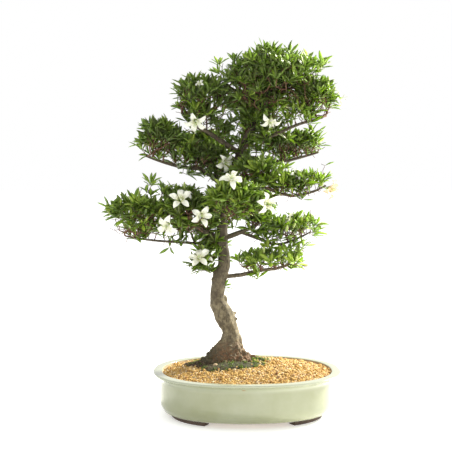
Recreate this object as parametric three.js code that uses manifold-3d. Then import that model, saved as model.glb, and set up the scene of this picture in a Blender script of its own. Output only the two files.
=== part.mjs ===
// A white-flowered azalea bonsai growing in an oval glazed pot that stands on four strip feet.
// Millimetres, +Z up. The pot's length lies along X and the tree's front faces -Y. The origin is
// the middle of the whole object's footprint, on the surface that the feet stand on.

import * as THREE from 'three';
import { mergeVertices } from 'three/addons/utils/BufferGeometryUtils.js';
import Module from 'manifold-3d';

const wasm = await Module();
wasm.setup();

// ---- Driving dimensions -------------------------------------------------------------------

// Gap kept between pieces that touch.
const CLEARANCE = 0.3;

// Pot: a flat rim over a cove, a wall that tucks in to a narrower base.
const POT_LENGTH = 340;
const POT_DEPTH = 262;
const POT_HEIGHT = 81;
const POT_SQUARENESS = 2.25;
const RIM_WIDTH = 16;
const LIP_HEIGHT = 4;
const LIP_OVERHANG = 11;
const EDGE_ROUND = 0.8;
const NECK_HEIGHT = 12;
const INNER_SETBACK = 2.4;
const TUCK_HEIGHT = 27;
const TUCK_DEPTH = 19;
const TUCK_POWER = 2.4;
const TUCK_UPRIGHT = 0.999;
const BEAD_HEIGHT = 2;
const BEAD_PROUD = 1;
const OUTER_TUCK_SHARES = [0.45, 0.7, 1];
const INNER_TUCK_SHARE = 0.3;

// The cove under the lip: share of the way out to the rim's edge, share of the neck's height.
const NECK_CURVE = [[0, 0], [0.06, 0.35], [0.22, 0.6], [0.5, 0.82]];

// The floor and the two holes in it.
const FLOOR_THICKNESS = 7;
const DRAIN_HOLE_RADIUS = 11;
const DRAIN_HOLE_SPACING = 130;
const DRAIN_HOLE_SIDES = 16;

// Feet: four curved strips of bare clay under the base.
const FOOT_HEIGHT = 7.5;
const FOOT_WIDTH = 15;
const FOOT_SETBACK = 1.5;
const FOOT_START_ANGLE = THREE.MathUtils.degToRad(8);
const FOOT_END_ANGLE = THREE.MathUtils.degToRad(58);
const FOOT_SLANT = 0.06;
const FOOT_STEPS = 7;

// Drain screens over the holes, each held by a bent wire clip.
const SCREEN_CELLS = 4;
const SCREEN_PITCH = 8;
const SCREEN_BAR = 2.4;
const SCREEN_THICKNESS = 1.4;
const WIRE_RADIUS = 0.8;
const CLIP_GRIP = 6;
const CLIP_STEPS = 28;
const CLIP_SIDES = 6;

// Soil: a gravel bed that rises to a low mound at the middle.
const SOIL_BELOW_RIM = 5;
const SOIL_MOUND = 18;
const SOIL_RING_SHARES = [1, 0.86, 0.66, 0.42, 0.2];
const MOSS_THICKNESS = 5;
const MOSS_WAVE = 0.04;

// A cushion's rings above its half-buried foot: share of its half sizes, share of its thickness.
const MOSS_DOME = [[0.72, 0.7], [0.36, 1]];

// The pale stone on the moss, placed from the trunk.
const STONE_RADIUS = 5.5;
const STONE_SHAPE = [1, 0.8, 0.7];
const STONE_TURN = 0.6;
const STONE_FROM_TRUNK = [-26, -47];
const STONE_LIFT = 3;

// Tree: the routes further down are drawn for a tree of the DRAWN sizes and stretched to these.
const TREE_HEIGHT = 585;
const CROWN_WIDTH = 434;
const CROWN_DEPTH = 284;
const DRAWN_HEIGHT = 590;
const DRAWN_WIDTH = 434;
const DRAWN_DEPTH = 284;
const TRUNK_X = -32;
const TRUNK_Y = 22;
const TRUNK_GIRTH = 1;
const BRANCH_GIRTH = 1;
const ROOT_DEPTH = 24;
const PAD_FULLNESS = 1;
const LUMP_SHARE = 0.1;
const LUMP_WAVES = [3.1, 3.7, 4.3];

// Flowers: a five-petalled star on a narrow throat.
const PETALS = 5;
const FLOWER_RADIUS = 19;
const PETAL_NOTCH = 5;
const PETAL_WIDTH = 9;
const PETAL_THICKNESS = 1.2;
const FLOWER_CUP = 6;
const THROAT_LENGTH = 14;
const THROAT_MOUTH = 4.5;
const THROAT_STALK = 1.6;
const THROAT_SINK = 2;
const THROAT_OVERLAP = 1.6;
const FACE_OUT_SHARE = 0.5;

// A petal's outline: share of the flower's radius, share of the petal's width to one side.
const PETAL_EDGE = [
  [0.45, -0.42],
  [0.72, -0.5],
  [0.92, -0.26],
  [1, 0],
  [0.92, 0.26],
  [0.72, 0.5],
  [0.45, 0.42],
];

// Fineness of the faceted surfaces.
const POT_SIDES = 38;
const TRUNK_SIDES = 12;
const BRANCH_SIDES = 6;
const RING_SPACING = 22;
const ROOT_SIDES = 8;
const THROAT_SIDES = 8;
const MOSS_SIDES = 14;
const PAD_DETAIL = 2;
const FEWEST_RINGS = 4;
const HALVINGS = 30;

// ---- Derived levels -----------------------------------------------------------------------

const BASE_LEVEL = FOOT_HEIGHT + CLEARANCE;
const FLOOR_LEVEL = BASE_LEVEL + FLOOR_THICKNESS;
const LIP_LEVEL = POT_HEIGHT - LIP_HEIGHT;
const NECK_LEVEL = LIP_LEVEL - NECK_HEIGHT;
const WALL_THICKNESS = RIM_WIDTH - LIP_OVERHANG;
const INNER_NECK_INSET = LIP_OVERHANG + INNER_SETBACK + WALL_THICKNESS;
const BASE_INSET = LIP_OVERHANG + TUCK_DEPTH;
const SOIL_EDGE_LEVEL = POT_HEIGHT - SOIL_BELOW_RIM;
const RISE = TREE_HEIGHT / DRAWN_HEIGHT;
const SPREAD = CROWN_WIDTH / DRAWN_WIDTH;
const REACH = CROWN_DEPTH / DRAWN_DEPTH;
const UP = new THREE.Vector3(0, 0, 1);

// ---- Routes and places of the plant --------------------------------------------------------

// Trunk axis above the root collar: sideways, back, up, radius.
const TRUNK_ROUTE = [
  [-2, 0, 0, 44],
  [-1, 0, 9, 36],
  [1, 1, 18, 29],
  [3, 2, 29, 23],
  [5, 3, 42, 19],
  [3, 4, 57, 15],
  [-3, 5, 70, 17.4],
  [-8, 6, 82, 19.2],
  [-13, 7, 95, 17],
  [-20, 7, 107, 15.2],
  [-22, 6, 121, 13],
  [-20, 4, 138, 12.6],
  [-16, 2, 159, 13.2],
  [-9, 0, 178, 11.3],
  [-9, -2, 199, 10.2],
  [-13, -3, 220, 10.4],
  [-13, -4, 257, 9],
  [-13, -3, 297, 8],
  [-3, 0, 337, 8],
  [16, 2, 370, 7.8],
  [21, 2, 388, 7.4],
  [34, 0, 416, 6.5],
  [52, -4, 452, 5.5],
  [70, -8, 498, 4],
];

// Ridges that the root flare spreads into: bearing round the trunk, how far each one swells.
const ROOT_RIDGES = [
  [0.1, 0.26],
  [1.5, 0.2],
  [2.6, 0.24],
  [3.5, 0.3],
  [4.6, 0.18],
  [5.5, 0.24],
];
const RIDGE_WIDTH = 0.42;
const RIDGE_TOP = 46;
const RIDGE_HOLLOW = 0.12;

// Rings of the root ball under the collar: share of the way up to it, share of its radius.
const BURIED_RINGS = [[0, 0.7], [0.6, 1.02]];

// Rings from the root ball up that lie level; those above follow the trunk's lean.
const LEVEL_RINGS = 4;

// A root that runs half buried to the right of the trunk, from its foot: offset, radius.
const SURFACE_ROOT = [
  [14, -2, -2, 12],
  [36, 0, 1, 8],
  [56, 1, -1, 5.5],
  [74, -3, -7, 3.5],
];

// Branches: parent, where each leaves it (height above the collar on the trunk, or share of the
// way along another branch), first and last radius, and offsets from that start.
const BRANCHES = [
  {
    name: 'branch_low_right', parent: 'trunk', height: 156, radii: [4.4, 1.5],
    route: [[40, -8, 5], [73, -18, 14], [104, -22, 18], [136, -18, 30], [151, -10, 45]],
  },
  {
    name: 'branch_low_left', parent: 'trunk', height: 159, radii: [2.6, 1.4],
    route: [[-26, -6, 17], [-40, -8, 28]],
  },
  {
    name: 'branch_left_lower', parent: 'trunk', height: 208, radii: [3, 1.3],
    route: [[-35, 8, 9], [-81, 16, 12], [-134, 18, 16], [-180, 14, 24]],
  },
  {
    name: 'branch_left_main', parent: 'trunk', height: 226, radii: [5.4, 2],
    route: [[-28, -6, 14], [-59, -14, 32], [-104, -22, 50], [-150, -24, 62]],
  },
  {
    name: 'branch_right_thick', parent: 'trunk', height: 225, radii: [5.4, 2.4],
    route: [[28, -4, 13], [47, -12, 20], [66, -18, 33]],
  },
  {
    name: 'branch_right_long', parent: 'branch_right_thick', along: 0.5, radii: [3.2, 1.3],
    route: [[34, 6, -13], [66, 8, -24], [98, 10, -16], [130, 8, 0]],
  },
  {
    name: 'branch_front_mid', parent: 'trunk', height: 272, radii: [3.6, 1.5],
    route: [[8, -28, 8], [16, -52, 18], [26, -74, 28]],
  },
  {
    name: 'branch_back_low', parent: 'trunk', height: 246, radii: [4.2, 1.6],
    route: [[14, 34, 10], [27, 66, 20], [40, 98, 34]],
  },
  {
    name: 'branch_mid_left', parent: 'trunk', height: 322, radii: [5.2, 1.9],
    route: [[-39, 8, 33], [-72, 10, 37], [-110, 4, 46], [-143, -4, 58]],
  },
  {
    name: 'branch_mid_right_lower', parent: 'trunk', height: 312, radii: [4, 1.5],
    route: [[36, -14, 9], [67, -26, 12], [118, -34, -5], [158, -34, 2], [184, -30, 14]],
  },
  {
    name: 'branch_back_mid', parent: 'trunk', height: 346, radii: [3.8, 1.5],
    route: [[-22, 34, 14], [-38, 64, 24], [-54, 92, 36]],
  },
  {
    name: 'branch_mid_right_upper', parent: 'trunk', height: 379, radii: [4.4, 1.6],
    route: [[40, 12, -4], [84, 24, -8], [119, 30, 0], [150, 30, 9]],
  },
  {
    name: 'branch_upper_left', parent: 'trunk', height: 384, radii: [6, 2.2],
    route: [[-36, -12, 24], [-60, -20, 40], [-86, -22, 53], [-106, -20, 74]],
  },
  {
    name: 'branch_upper_right', parent: 'trunk', height: 408, radii: [4.2, 1.5],
    route: [[44, -18, 8], [92, -32, 28], [136, -36, 40]],
  },
  {
    name: 'branch_back_upper', parent: 'trunk', height: 421, radii: [3.6, 1.4],
    route: [[10, 30, 12], [14, 60, 26], [18, 90, 40]],
  },
  {
    name: 'branch_apex_left', parent: 'trunk', height: 470, radii: [3.2, 1.4],
    route: [[-40, 10, 26], [-72, 18, 46]],
  },
  {
    name: 'branch_apex_right', parent: 'trunk', height: 482, radii: [3.2, 1.4],
    route: [[46, 4, 22], [92, 6, 34]],
  },
];

// Foliage pads: the branch each one grows on, how far along it, offset of the pad's middle from
// there, and half sizes.
const PADS = [
  {
    name: 'foliage_low_right', branch: 'branch_low_right', along: 0.62,
    lift: [-4, 0, 22], half: [77, 42, 24],
  },
  {
    name: 'foliage_low_left', branch: 'branch_low_left', along: 1,
    lift: [6, -4, -6], half: [28, 22, 21],
  },
  {
    name: 'foliage_left_outer', branch: 'branch_left_main', along: 1,
    lift: [0, 10, -17], half: [62, 52, 43],
  },
  {
    name: 'foliage_left_inner', branch: 'branch_left_main', along: 0.5,
    lift: [6, -14, 14], half: [56, 48, 53],
  },
  {
    name: 'foliage_front', branch: 'branch_front_mid', along: 1,
    lift: [-2, -12, 0], half: [52, 42, 45],
  },
  {
    name: 'foliage_right_outer', branch: 'branch_right_long', along: 0.72,
    lift: [-4, 0, 22], half: [54, 40, 24],
  },
  {
    name: 'foliage_right_inner', branch: 'branch_right_thick', along: 1,
    lift: [-5, 2, 8], half: [26, 28, 22],
  },
  {
    name: 'foliage_back_low', branch: 'branch_back_low', along: 1,
    lift: [-4, -14, 8], half: [72, 42, 38],
  },
  {
    name: 'foliage_mid_left', branch: 'branch_mid_left', along: 0.82,
    lift: [0, 2, 40], half: [46, 48, 40],
  },
  {
    name: 'foliage_mid_left_inner', branch: 'branch_mid_left', along: 0.3,
    lift: [0, 0, 27], half: [36, 40, 28],
  },
  {
    name: 'foliage_mid_right', branch: 'branch_mid_right_lower', along: 0.64,
    lift: [0, 0, 18], half: [72, 45, 28],
  },
  {
    name: 'foliage_centre', branch: 'branch_mid_right_lower', along: 0.33,
    lift: [-2, -8, 30], half: [45, 38, 29],
  },
  {
    name: 'foliage_back_mid', branch: 'branch_back_mid', along: 1,
    lift: [-10, -6, 16], half: [60, 40, 38],
  },
  {
    name: 'foliage_upper_right', branch: 'branch_mid_right_upper', along: 0.74,
    lift: [-6, 0, 25], half: [64, 45, 27],
  },
  {
    name: 'foliage_upper_left', branch: 'branch_upper_left', along: 1,
    lift: [40, 18, 24], half: [65, 56, 48],
  },
  {
    name: 'foliage_back_upper', branch: 'branch_back_upper', along: 1,
    lift: [0, -4, 14], half: [62, 42, 42],
  },
  {
    name: 'foliage_apex_right', branch: 'branch_upper_right', along: 1,
    lift: [-10, 22, 34], half: [46, 52, 46],
  },
  {
    name: 'foliage_apex', branch: 'trunk', along: 1,
    lift: [12, 2, 15], half: [95, 84, 76],
  },
];

// Flowers: the pad each one opens on and the side of the pad it faces from.
const FLOWERS = [
  { name: 'flower_apex', pad: 'foliage_apex', side: [-0.1, -0.58, -0.8] },
  { name: 'flower_upper_left', pad: 'foliage_upper_left', side: [-0.15, -0.75, -0.6] },
  { name: 'flower_hanging', pad: 'foliage_mid_left_inner', side: [0.72, -0.66, -0.3] },
  { name: 'flower_left_high', pad: 'foliage_left_inner', side: [-0.1, -0.92, 0.38] },
  { name: 'flower_left_low', pad: 'foliage_left_inner', side: [-0.4, -0.85, -0.28] },
  { name: 'flower_left_pale', pad: 'foliage_left_inner', side: [0.38, -0.9, -0.05] },
  { name: 'flower_front_high', pad: 'foliage_front', side: [-0.15, -0.78, 0.6] },
  { name: 'flower_front_right', pad: 'foliage_front', side: [0.7, -0.7, -0.05] },
  { name: 'flower_low_left', pad: 'foliage_low_left', side: [-0.1, -0.9, 0.42] },
  { name: 'flower_mid_right', pad: 'foliage_mid_right', side: [0.85, -0.5, -0.1] },
];

// Cushions of moss on the soil: middle from the pot's middle, half sizes and turn.
const MOSS_PATCHES = [
  { name: 'moss_front', x: -30, y: -26, halfLength: 62, halfWidth: 26, turn: 0.05 },
  { name: 'moss_right', x: 15, y: 24, halfLength: 34, halfWidth: 18, turn: -0.5 },
  { name: 'moss_back', x: -58, y: 56, halfLength: 44, halfWidth: 20, turn: 0.6 },
];

// ---- Materials ----------------------------------------------------------------------------

const GLAZE = new THREE.MeshStandardMaterial({ color: 0xc3ccab, roughness: 0.25 });
const CLAY = new THREE.MeshStandardMaterial({ color: 0x4b3e34, roughness: 0.9 });
const SCREEN_PLASTIC = new THREE.MeshStandardMaterial({ color: 0x25272a, roughness: 0.6 });
const WIRE = new THREE.MeshStandardMaterial({ color: 0x8c6a4a, roughness: 0.4, metalness: 1 });
const GRAVEL = new THREE.MeshStandardMaterial({ color: 0xc79a5c, roughness: 0.95 });
const MOSS = new THREE.MeshStandardMaterial({ color: 0x4c5a22, roughness: 1 });
const STONE = new THREE.MeshStandardMaterial({ color: 0xc9bfae, roughness: 0.8 });
const BARK = new THREE.MeshStandardMaterial({ color: 0x8a7862, roughness: 0.95 });
const FOLIAGE = new THREE.MeshStandardMaterial({ color: 0x4c7a2a, roughness: 0.6 });
const PETAL = new THREE.MeshStandardMaterial({ color: 0xf2f0e2, roughness: 0.55 });

// ---- Solids -------------------------------------------------------------------------------

// Turns a closed geometry into a solid that can be joined and cut.
function solidOf(geometry) {
  const bare = geometry.index ? geometry.clone() : geometry;
  bare.deleteAttribute('normal');
  bare.deleteAttribute('uv');
  const merged = mergeVertices(bare, 1e-4);
  const mesh = new wasm.Mesh({
    numProp: 3,
    vertProperties: new Float32Array(merged.attributes.position.array),
    triVerts: new Uint32Array(merged.index.array),
  });
  mesh.merge();
  return new wasm.Manifold(mesh);
}

// Turns a solid back into a named mesh.
function meshOf(solid, name, material) {
  const cut = solid.getMesh();
  const geometry = new THREE.BufferGeometry();
  geometry.setAttribute('position', new THREE.BufferAttribute(cut.vertProperties, 3));
  geometry.setIndex(new THREE.BufferAttribute(cut.triVerts, 1));
  geometry.computeVertexNormals();
  const mesh = new THREE.Mesh(geometry, material);
  mesh.name = name;
  return mesh;
}

// Keeps the largest piece of a solid that its neighbours cut into several.
function largest(solid) {
  const pieces = solid.decompose();
  pieces.sort((a, b) => b.volume() - a.volume());
  return pieces[0];
}

// Whether the boxes around two solids meet.
function near(a, b) {
  const boxA = a.boundingBox();
  const boxB = b.boundingBox();
  return [0, 1, 2].every(i => boxA.min[i] <= boxB.max[i] && boxB.min[i] <= boxA.max[i]);
}

// Cuts a solid by each neighbour that it meets.
function cutBy(solid, neighbours) {
  const touching = neighbours.filter(other => near(solid, other));
  return touching.reduce((left, other) => left.subtract(other), solid);
}

// Covers a run of rings, each an equal list of points that turn left round the way forward, and
// closes both ends with a fan of triangles.
function skin(rings) {
  const sides = rings[0].length;
  const points = rings.flat();
  const middles = [rings[0], rings.at(-1)].map(ring => {
    const sum = ring.reduce((total, point) => total.add(point), new THREE.Vector3());
    return sum.divideScalar(sides);
  });
  const first = points.length;
  const last = first + 1;
  points.push(...middles);
  const faces = [];
  for (let i = 0; i < sides; i += 1) {
    const next = (i + 1) % sides;
    faces.push(first, next, i);
    const top = (rings.length - 1) * sides;
    faces.push(last, top + i, top + next);
    for (let r = 0; r < rings.length - 1; r += 1) {
      const low = r * sides;
      const high = low + sides;
      faces.push(low + i, low + next, high + next);
      faces.push(low + i, high + next, high + i);
    }
  }
  const geometry = new THREE.BufferGeometry().setFromPoints(points);
  geometry.setIndex(faces);
  return geometry;
}

// ---- Pot ----------------------------------------------------------------------------------

// A point on the pot's oval, drawn in from the rim's outer edge by an inset.
function ovalPoint(inset, level, angle) {
  const power = 2 / POT_SQUARENESS;
  const across = Math.sign(Math.cos(angle)) * Math.abs(Math.cos(angle)) ** power;
  const back = Math.sign(Math.sin(angle)) * Math.abs(Math.sin(angle)) ** power;
  return new THREE.Vector3((POT_LENGTH / 2 - inset) * across, (POT_DEPTH / 2 - inset) * back, level);
}

// A whole ring of the pot's oval.
function ovalRing(inset, level, sides) {
  return Array.from({ length: sides }, (_, i) => ovalPoint(inset, level, (2 * Math.PI * i) / sides));
}

// How far the wall has drawn in at a level, for the curve that tucks under to the base.
function tuckInset(level) {
  const share = THREE.MathUtils.clamp((BASE_LEVEL + TUCK_HEIGHT - level) / TUCK_HEIGHT, 0, 1);
  return LIP_OVERHANG + TUCK_DEPTH * (1 - Math.sqrt(1 - share ** TUCK_POWER * TUCK_UPRIGHT));
}

// The level that a share of the tuck's height stands at.
function tuckLevel(share, from = BASE_LEVEL) {
  return from + TUCK_HEIGHT * share;
}

// A point of the wall's outside at a level, standing proud by an amount.
function wallPoint(level, proud = 0) {
  return [tuckInset(level) - proud, level];
}

// A point of the wall's inside at a level.
function innerPoint(level) {
  return [innerInset(level), level];
}

// Inset and level all round the pot's section: up the outside, over the rim and down the inside.
function potProfile() {
  const beadLevel = BASE_LEVEL + BEAD_HEIGHT * 2;
  const neck = NECK_CURVE.map(([out, rise]) => (
    [LIP_OVERHANG * (1 - out), NECK_LEVEL + NECK_HEIGHT * rise]
  ));
  return [
    [BASE_INSET, BASE_LEVEL],
    wallPoint(beadLevel - BEAD_HEIGHT / 2),
    wallPoint(beadLevel, BEAD_PROUD),
    wallPoint(beadLevel + BEAD_HEIGHT / 2),
    ...OUTER_TUCK_SHARES.map(share => wallPoint(tuckLevel(share))),
    ...neck,
    [EDGE_ROUND, LIP_LEVEL],
    [0, LIP_LEVEL + EDGE_ROUND],
    [0, POT_HEIGHT - EDGE_ROUND],
    [EDGE_ROUND, POT_HEIGHT],
    [RIM_WIDTH - EDGE_ROUND, POT_HEIGHT],
    [RIM_WIDTH, POT_HEIGHT - EDGE_ROUND],
    [RIM_WIDTH + INNER_SETBACK, LIP_LEVEL],
    [INNER_NECK_INSET, NECK_LEVEL],
    innerPoint(tuckLevel(1)),
    innerPoint(tuckLevel(INNER_TUCK_SHARE, FLOOR_LEVEL)),
    innerPoint(FLOOR_LEVEL),
  ];
}

function potBody() {
  const rings = potProfile().map(([inset, level]) => ovalRing(inset, level, POT_SIDES));
  return cutBy(solidOf(skin(rings)), drainPlaces().map(drainHole));
}

// The inside of the wall at a level, a wall's thickness in from the outside.
function innerInset(level) {
  return tuckInset(level) + WALL_THICKNESS + INNER_SETBACK;
}

function drainPlaces() {
  return [-DRAIN_HOLE_SPACING / 2, DRAIN_HOLE_SPACING / 2];
}

function drainHole(x) {
  const height = FLOOR_THICKNESS * 3;
  const hole = new THREE.CylinderGeometry(DRAIN_HOLE_RADIUS, DRAIN_HOLE_RADIUS, height, DRAIN_HOLE_SIDES);
  hole.rotateX(Math.PI / 2);
  hole.translate(x, 0, BASE_LEVEL + FLOOR_THICKNESS / 2);
  return solidOf(hole);
}

// A strip foot under one quarter of the base; the mirrored quarters turn the other way. Its end
// nearest the middle of the pot is cut on a slant.
function potFoot(right, back) {
  const outer = BASE_INSET + FOOT_SETBACK;
  const angles = Array.from({ length: FOOT_STEPS + 1 }, (_, i) => (
    THREE.MathUtils.lerp(FOOT_START_ANGLE, FOOT_END_ANGLE, i / FOOT_STEPS)
  ));
  const inward = angles.with(-1, FOOT_END_ANGLE - FOOT_SLANT).reverse();
  const edge = [
    ...angles.map(angle => ovalPoint(outer, 0, angle)),
    ...inward.map(angle => ovalPoint(outer + FOOT_WIDTH, 0, angle)),
  ];
  const shape = new THREE.Shape(edge.map(point => new THREE.Vector2(right * point.x, back * point.y)));
  return solidOf(new THREE.ExtrudeGeometry(shape, { depth: FOOT_HEIGHT, bevelEnabled: false }));
}

// ---- Drain screens and clips ----------------------------------------------------------------

function drainScreen(x) {
  const side = SCREEN_CELLS * SCREEN_PITCH + SCREEN_BAR;
  const level = FLOOR_LEVEL + CLEARANCE + SCREEN_THICKNESS / 2;
  const cells = [];
  for (let i = 0; i < SCREEN_CELLS; i += 1) {
    for (let j = 0; j < SCREEN_CELLS; j += 1) {
      const u = (i - (SCREEN_CELLS - 1) / 2) * SCREEN_PITCH;
      const v = (j - (SCREEN_CELLS - 1) / 2) * SCREEN_PITCH;
      cells.push(block(SCREEN_PITCH - SCREEN_BAR, SCREEN_THICKNESS * 2, x + u, v, level));
    }
  }
  return cutBy(block(side, SCREEN_THICKNESS, x, 0, level), cells);
}

// A square block: side, height and middle.
function block(side, height, x, y, z) {
  const box = new THREE.BoxGeometry(side, side, height);
  box.translate(x, y, z);
  return solidOf(box);
}

// A staple whose legs pass through the screen and the hole, and turn out under the floor.
function screenClip(x, extra = 0) {
  const low = BASE_LEVEL - CLEARANCE - WIRE_RADIUS;
  const high = FLOOR_LEVEL + 2 * CLEARANCE + SCREEN_THICKNESS + WIRE_RADIUS;
  const leg = SCREEN_PITCH / 2;
  const foot = DRAIN_HOLE_RADIUS + CLIP_GRIP;
  const bend = WIRE_RADIUS * 2;
  const path = new THREE.CurvePath();
  const stops = [[-foot, low], [-leg, low], [-leg, high], [leg, high], [leg, low], [foot, low]];
  const points = stops.map(([u, z]) => new THREE.Vector3(x + u, SCREEN_PITCH / 2, z));
  let from = points[0];
  for (let i = 1; i < points.length - 1; i += 1) {
    const back = points[i - 1].clone().sub(points[i]).setLength(bend).add(points[i]);
    const on = points[i + 1].clone().sub(points[i]).setLength(bend).add(points[i]);
    path.add(new THREE.LineCurve3(from, back));
    path.add(new THREE.QuadraticBezierCurve3(back, points[i], on));
    from = on;
  }
  path.add(new THREE.LineCurve3(from, points.at(-1)));
  const frames = path.computeFrenetFrames(CLIP_STEPS, false);
  const rings = [];
  for (let i = 0; i <= CLIP_STEPS; i += 1) {
    rings.push(roundRing(path.getPointAt(i / CLIP_STEPS), frames, i, CLIP_SIDES, WIRE_RADIUS + extra));
  }
  return solidOf(skin(rings));
}

// ---- Soil, moss and stone -------------------------------------------------------------------

// Height of the soil's surface above a point of the bed.
function soilLevel(x, y) {
  const inset = RIM_WIDTH + INNER_SETBACK;
  const u = x / (POT_LENGTH / 2 - inset);
  const v = y / (POT_DEPTH / 2 - inset);
  return SOIL_EDGE_LEVEL + SOIL_MOUND * Math.max(0, 1 - u * u - v * v);
}

// The bed fills the pot; extra raises its surface.
function soilBed(extra = 0) {
  const gap = CLEARANCE;
  const lowWall = tuckLevel(INNER_TUCK_SHARE, FLOOR_LEVEL);
  const rings = [
    ovalRing(innerInset(FLOOR_LEVEL) + gap, FLOOR_LEVEL + gap, POT_SIDES),
    ovalRing(innerInset(lowWall) + gap, lowWall, POT_SIDES),
    ovalRing(innerInset(tuckLevel(1)) + gap, tuckLevel(1), POT_SIDES),
    ovalRing(INNER_NECK_INSET + gap, NECK_LEVEL, POT_SIDES),
  ];
  const edge = ovalRing(RIM_WIDTH + INNER_SETBACK + gap, 0, POT_SIDES);
  for (const share of SOIL_RING_SHARES) {
    rings.push(edge.map(point => {
      const x = point.x * share;
      const y = point.y * share;
      return new THREE.Vector3(x, y, soilLevel(x, y) + extra);
    }));
  }
  return solidOf(skin(rings));
}

// A cushion of moss on the soil, with a wavy edge and a domed top.
function mossPatch({ x, y, halfLength, halfWidth, turn }) {
  const ring = (share, lift) => Array.from({ length: MOSS_SIDES }, (_, i) => {
    const angle = (2 * Math.PI * i) / MOSS_SIDES;
    const wobble = 1 + MOSS_WAVE * (3 * Math.sin(3 * angle + x) + 2 * Math.cos(5 * angle + y));
    const u = halfLength * share * wobble * Math.cos(angle);
    const v = halfWidth * share * wobble * Math.sin(angle);
    const px = x + u * Math.cos(turn) - v * Math.sin(turn);
    const py = y + u * Math.sin(turn) + v * Math.cos(turn);
    return new THREE.Vector3(px, py, soilLevel(px, py) + lift);
  });
  const rings = [
    ring(0.5, -MOSS_THICKNESS / 2),
    ring(1, -MOSS_THICKNESS / 2),
    ring(1, CLEARANCE * 2),
    ...MOSS_DOME.map(([share, rise]) => ring(share, MOSS_THICKNESS * rise)),
  ];
  return solidOf(skin(rings));
}

function paleStone() {
  const x = TRUNK_X + STONE_FROM_TRUNK[0];
  const y = TRUNK_Y + STONE_FROM_TRUNK[1];
  const stone = new THREE.IcosahedronGeometry(STONE_RADIUS, 1);
  stone.scale(...STONE_SHAPE);
  stone.rotateZ(STONE_TURN);
  stone.translate(x, y, soilLevel(x, y) + STONE_LIFT);
  return solidOf(stone);
}

// ---- Trunk and branches ---------------------------------------------------------------------

// A ring of points round a curve's frame.
function roundRing(centre, frames, index, sides, radius) {
  return Array.from({ length: sides }, (_, i) => {
    const angle = (2 * Math.PI * i) / sides;
    const point = centre.clone();
    point.addScaledVector(frames.normals[index], radius * Math.cos(angle));
    return point.addScaledVector(frames.binormals[index], radius * Math.sin(angle));
  });
}

// Radius a share of the way along a list of radii.
function radiusAlong(radii, share) {
  const place = share * (radii.length - 1);
  const index = Math.min(Math.floor(place), radii.length - 2);
  return THREE.MathUtils.lerp(radii[index], radii[index + 1], place - index);
}

// A tapering limb along a route, grown by extra all round and at both ends.
function limb(route, radii, sides, extra) {
  const curve = new THREE.CatmullRomCurve3(route, false, 'centripetal');
  const steps = Math.max(FEWEST_RINGS, Math.ceil(curve.getLength() / RING_SPACING));
  const frames = curve.computeFrenetFrames(steps, false);
  const rings = [];
  for (let i = 0; i <= steps; i += 1) {
    const share = i / steps;
    const radius = radiusAlong(radii, share) + extra;
    rings.push(roundRing(curve.getPointAt(share), frames, i, sides, radius));
  }
  const foot = frames.tangents[0].clone().multiplyScalar(-extra);
  const tip = frames.tangents[steps].clone().multiplyScalar(extra);
  rings[0].forEach(point => point.add(foot));
  rings[steps].forEach(point => point.add(tip));
  return solidOf(skin(rings));
}

// The foot of the tree, where the trunk meets the soil's surface.
const COLLAR = new THREE.Vector3(TRUNK_X, TRUNK_Y, soilLevel(TRUNK_X, TRUNK_Y));

function stretched([x, y, z]) {
  return new THREE.Vector3(x * SPREAD, y * REACH, z * RISE);
}

const TRUNK_AXIS = TRUNK_ROUTE.map(point => stretched(point).add(COLLAR));
const TRUNK_CURVE = new THREE.CatmullRomCurve3(TRUNK_AXIS, false, 'centripetal');

// How far a root ridge pushes the trunk out at a bearing and a height above the collar.
function ridgeSwell(angle, height) {
  const fade = THREE.MathUtils.clamp(1 - height / RIDGE_TOP, 0, 1);
  const swell = ROOT_RIDGES.reduce((total, [bearing, strength]) => {
    const off = Math.atan2(Math.sin(angle - bearing), Math.cos(angle - bearing));
    return total + strength * Math.exp(-((off / RIDGE_WIDTH) ** 2));
  }, 0);
  return 1 + (swell - RIDGE_HOLLOW) * fade;
}

// The trunk with its root flare, from the root ball's top under the soil up to its tip.
function trunk(extra = 0) {
  const buried = new THREE.Vector3(COLLAR.x, COLLAR.y, COLLAR.z - ROOT_DEPTH - extra);
  const [collarRadius] = TRUNK_ROUTE[0].slice(-1);
  const levels = BURIED_RINGS.map(([rise, share]) => (
    { centre: buried.clone().lerp(COLLAR, rise), radius: collarRadius * share, height: 0 }
  ));
  TRUNK_AXIS.forEach((centre, i) => {
    levels.push({ centre, radius: TRUNK_ROUTE[i][3], height: TRUNK_ROUTE[i][2] });
  });
  const rings = levels.map(({ centre, radius, height }, i) => {
    const ahead = levels[Math.min(i + 1, levels.length - 1)].centre;
    const behind = levels[Math.max(i - 1, 0)].centre;
    const lean = ahead.clone().sub(behind).normalize();
    const upright = i < LEVEL_RINGS ? UP : lean;
    const turn = new THREE.Quaternion().setFromUnitVectors(UP, upright);
    return Array.from({ length: TRUNK_SIDES }, (_, side) => {
      const angle = (2 * Math.PI * side) / TRUNK_SIDES;
      const reach = radius * TRUNK_GIRTH * ridgeSwell(angle, height) + extra;
      const arm = new THREE.Vector3(reach * Math.cos(angle), reach * Math.sin(angle), 0);
      return arm.applyQuaternion(turn).add(centre);
    });
  });
  rings.at(-1).forEach(point => point.add(new THREE.Vector3(0, 0, extra)));
  const rootRoute = SURFACE_ROOT.map(([x, y, z]) => new THREE.Vector3(x, y, z).add(COLLAR));
  const rootRadii = SURFACE_ROOT.map(point => point[3] * TRUNK_GIRTH);
  return solidOf(skin(rings)).add(limb(rootRoute, rootRadii, ROOT_SIDES, extra));
}

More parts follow.
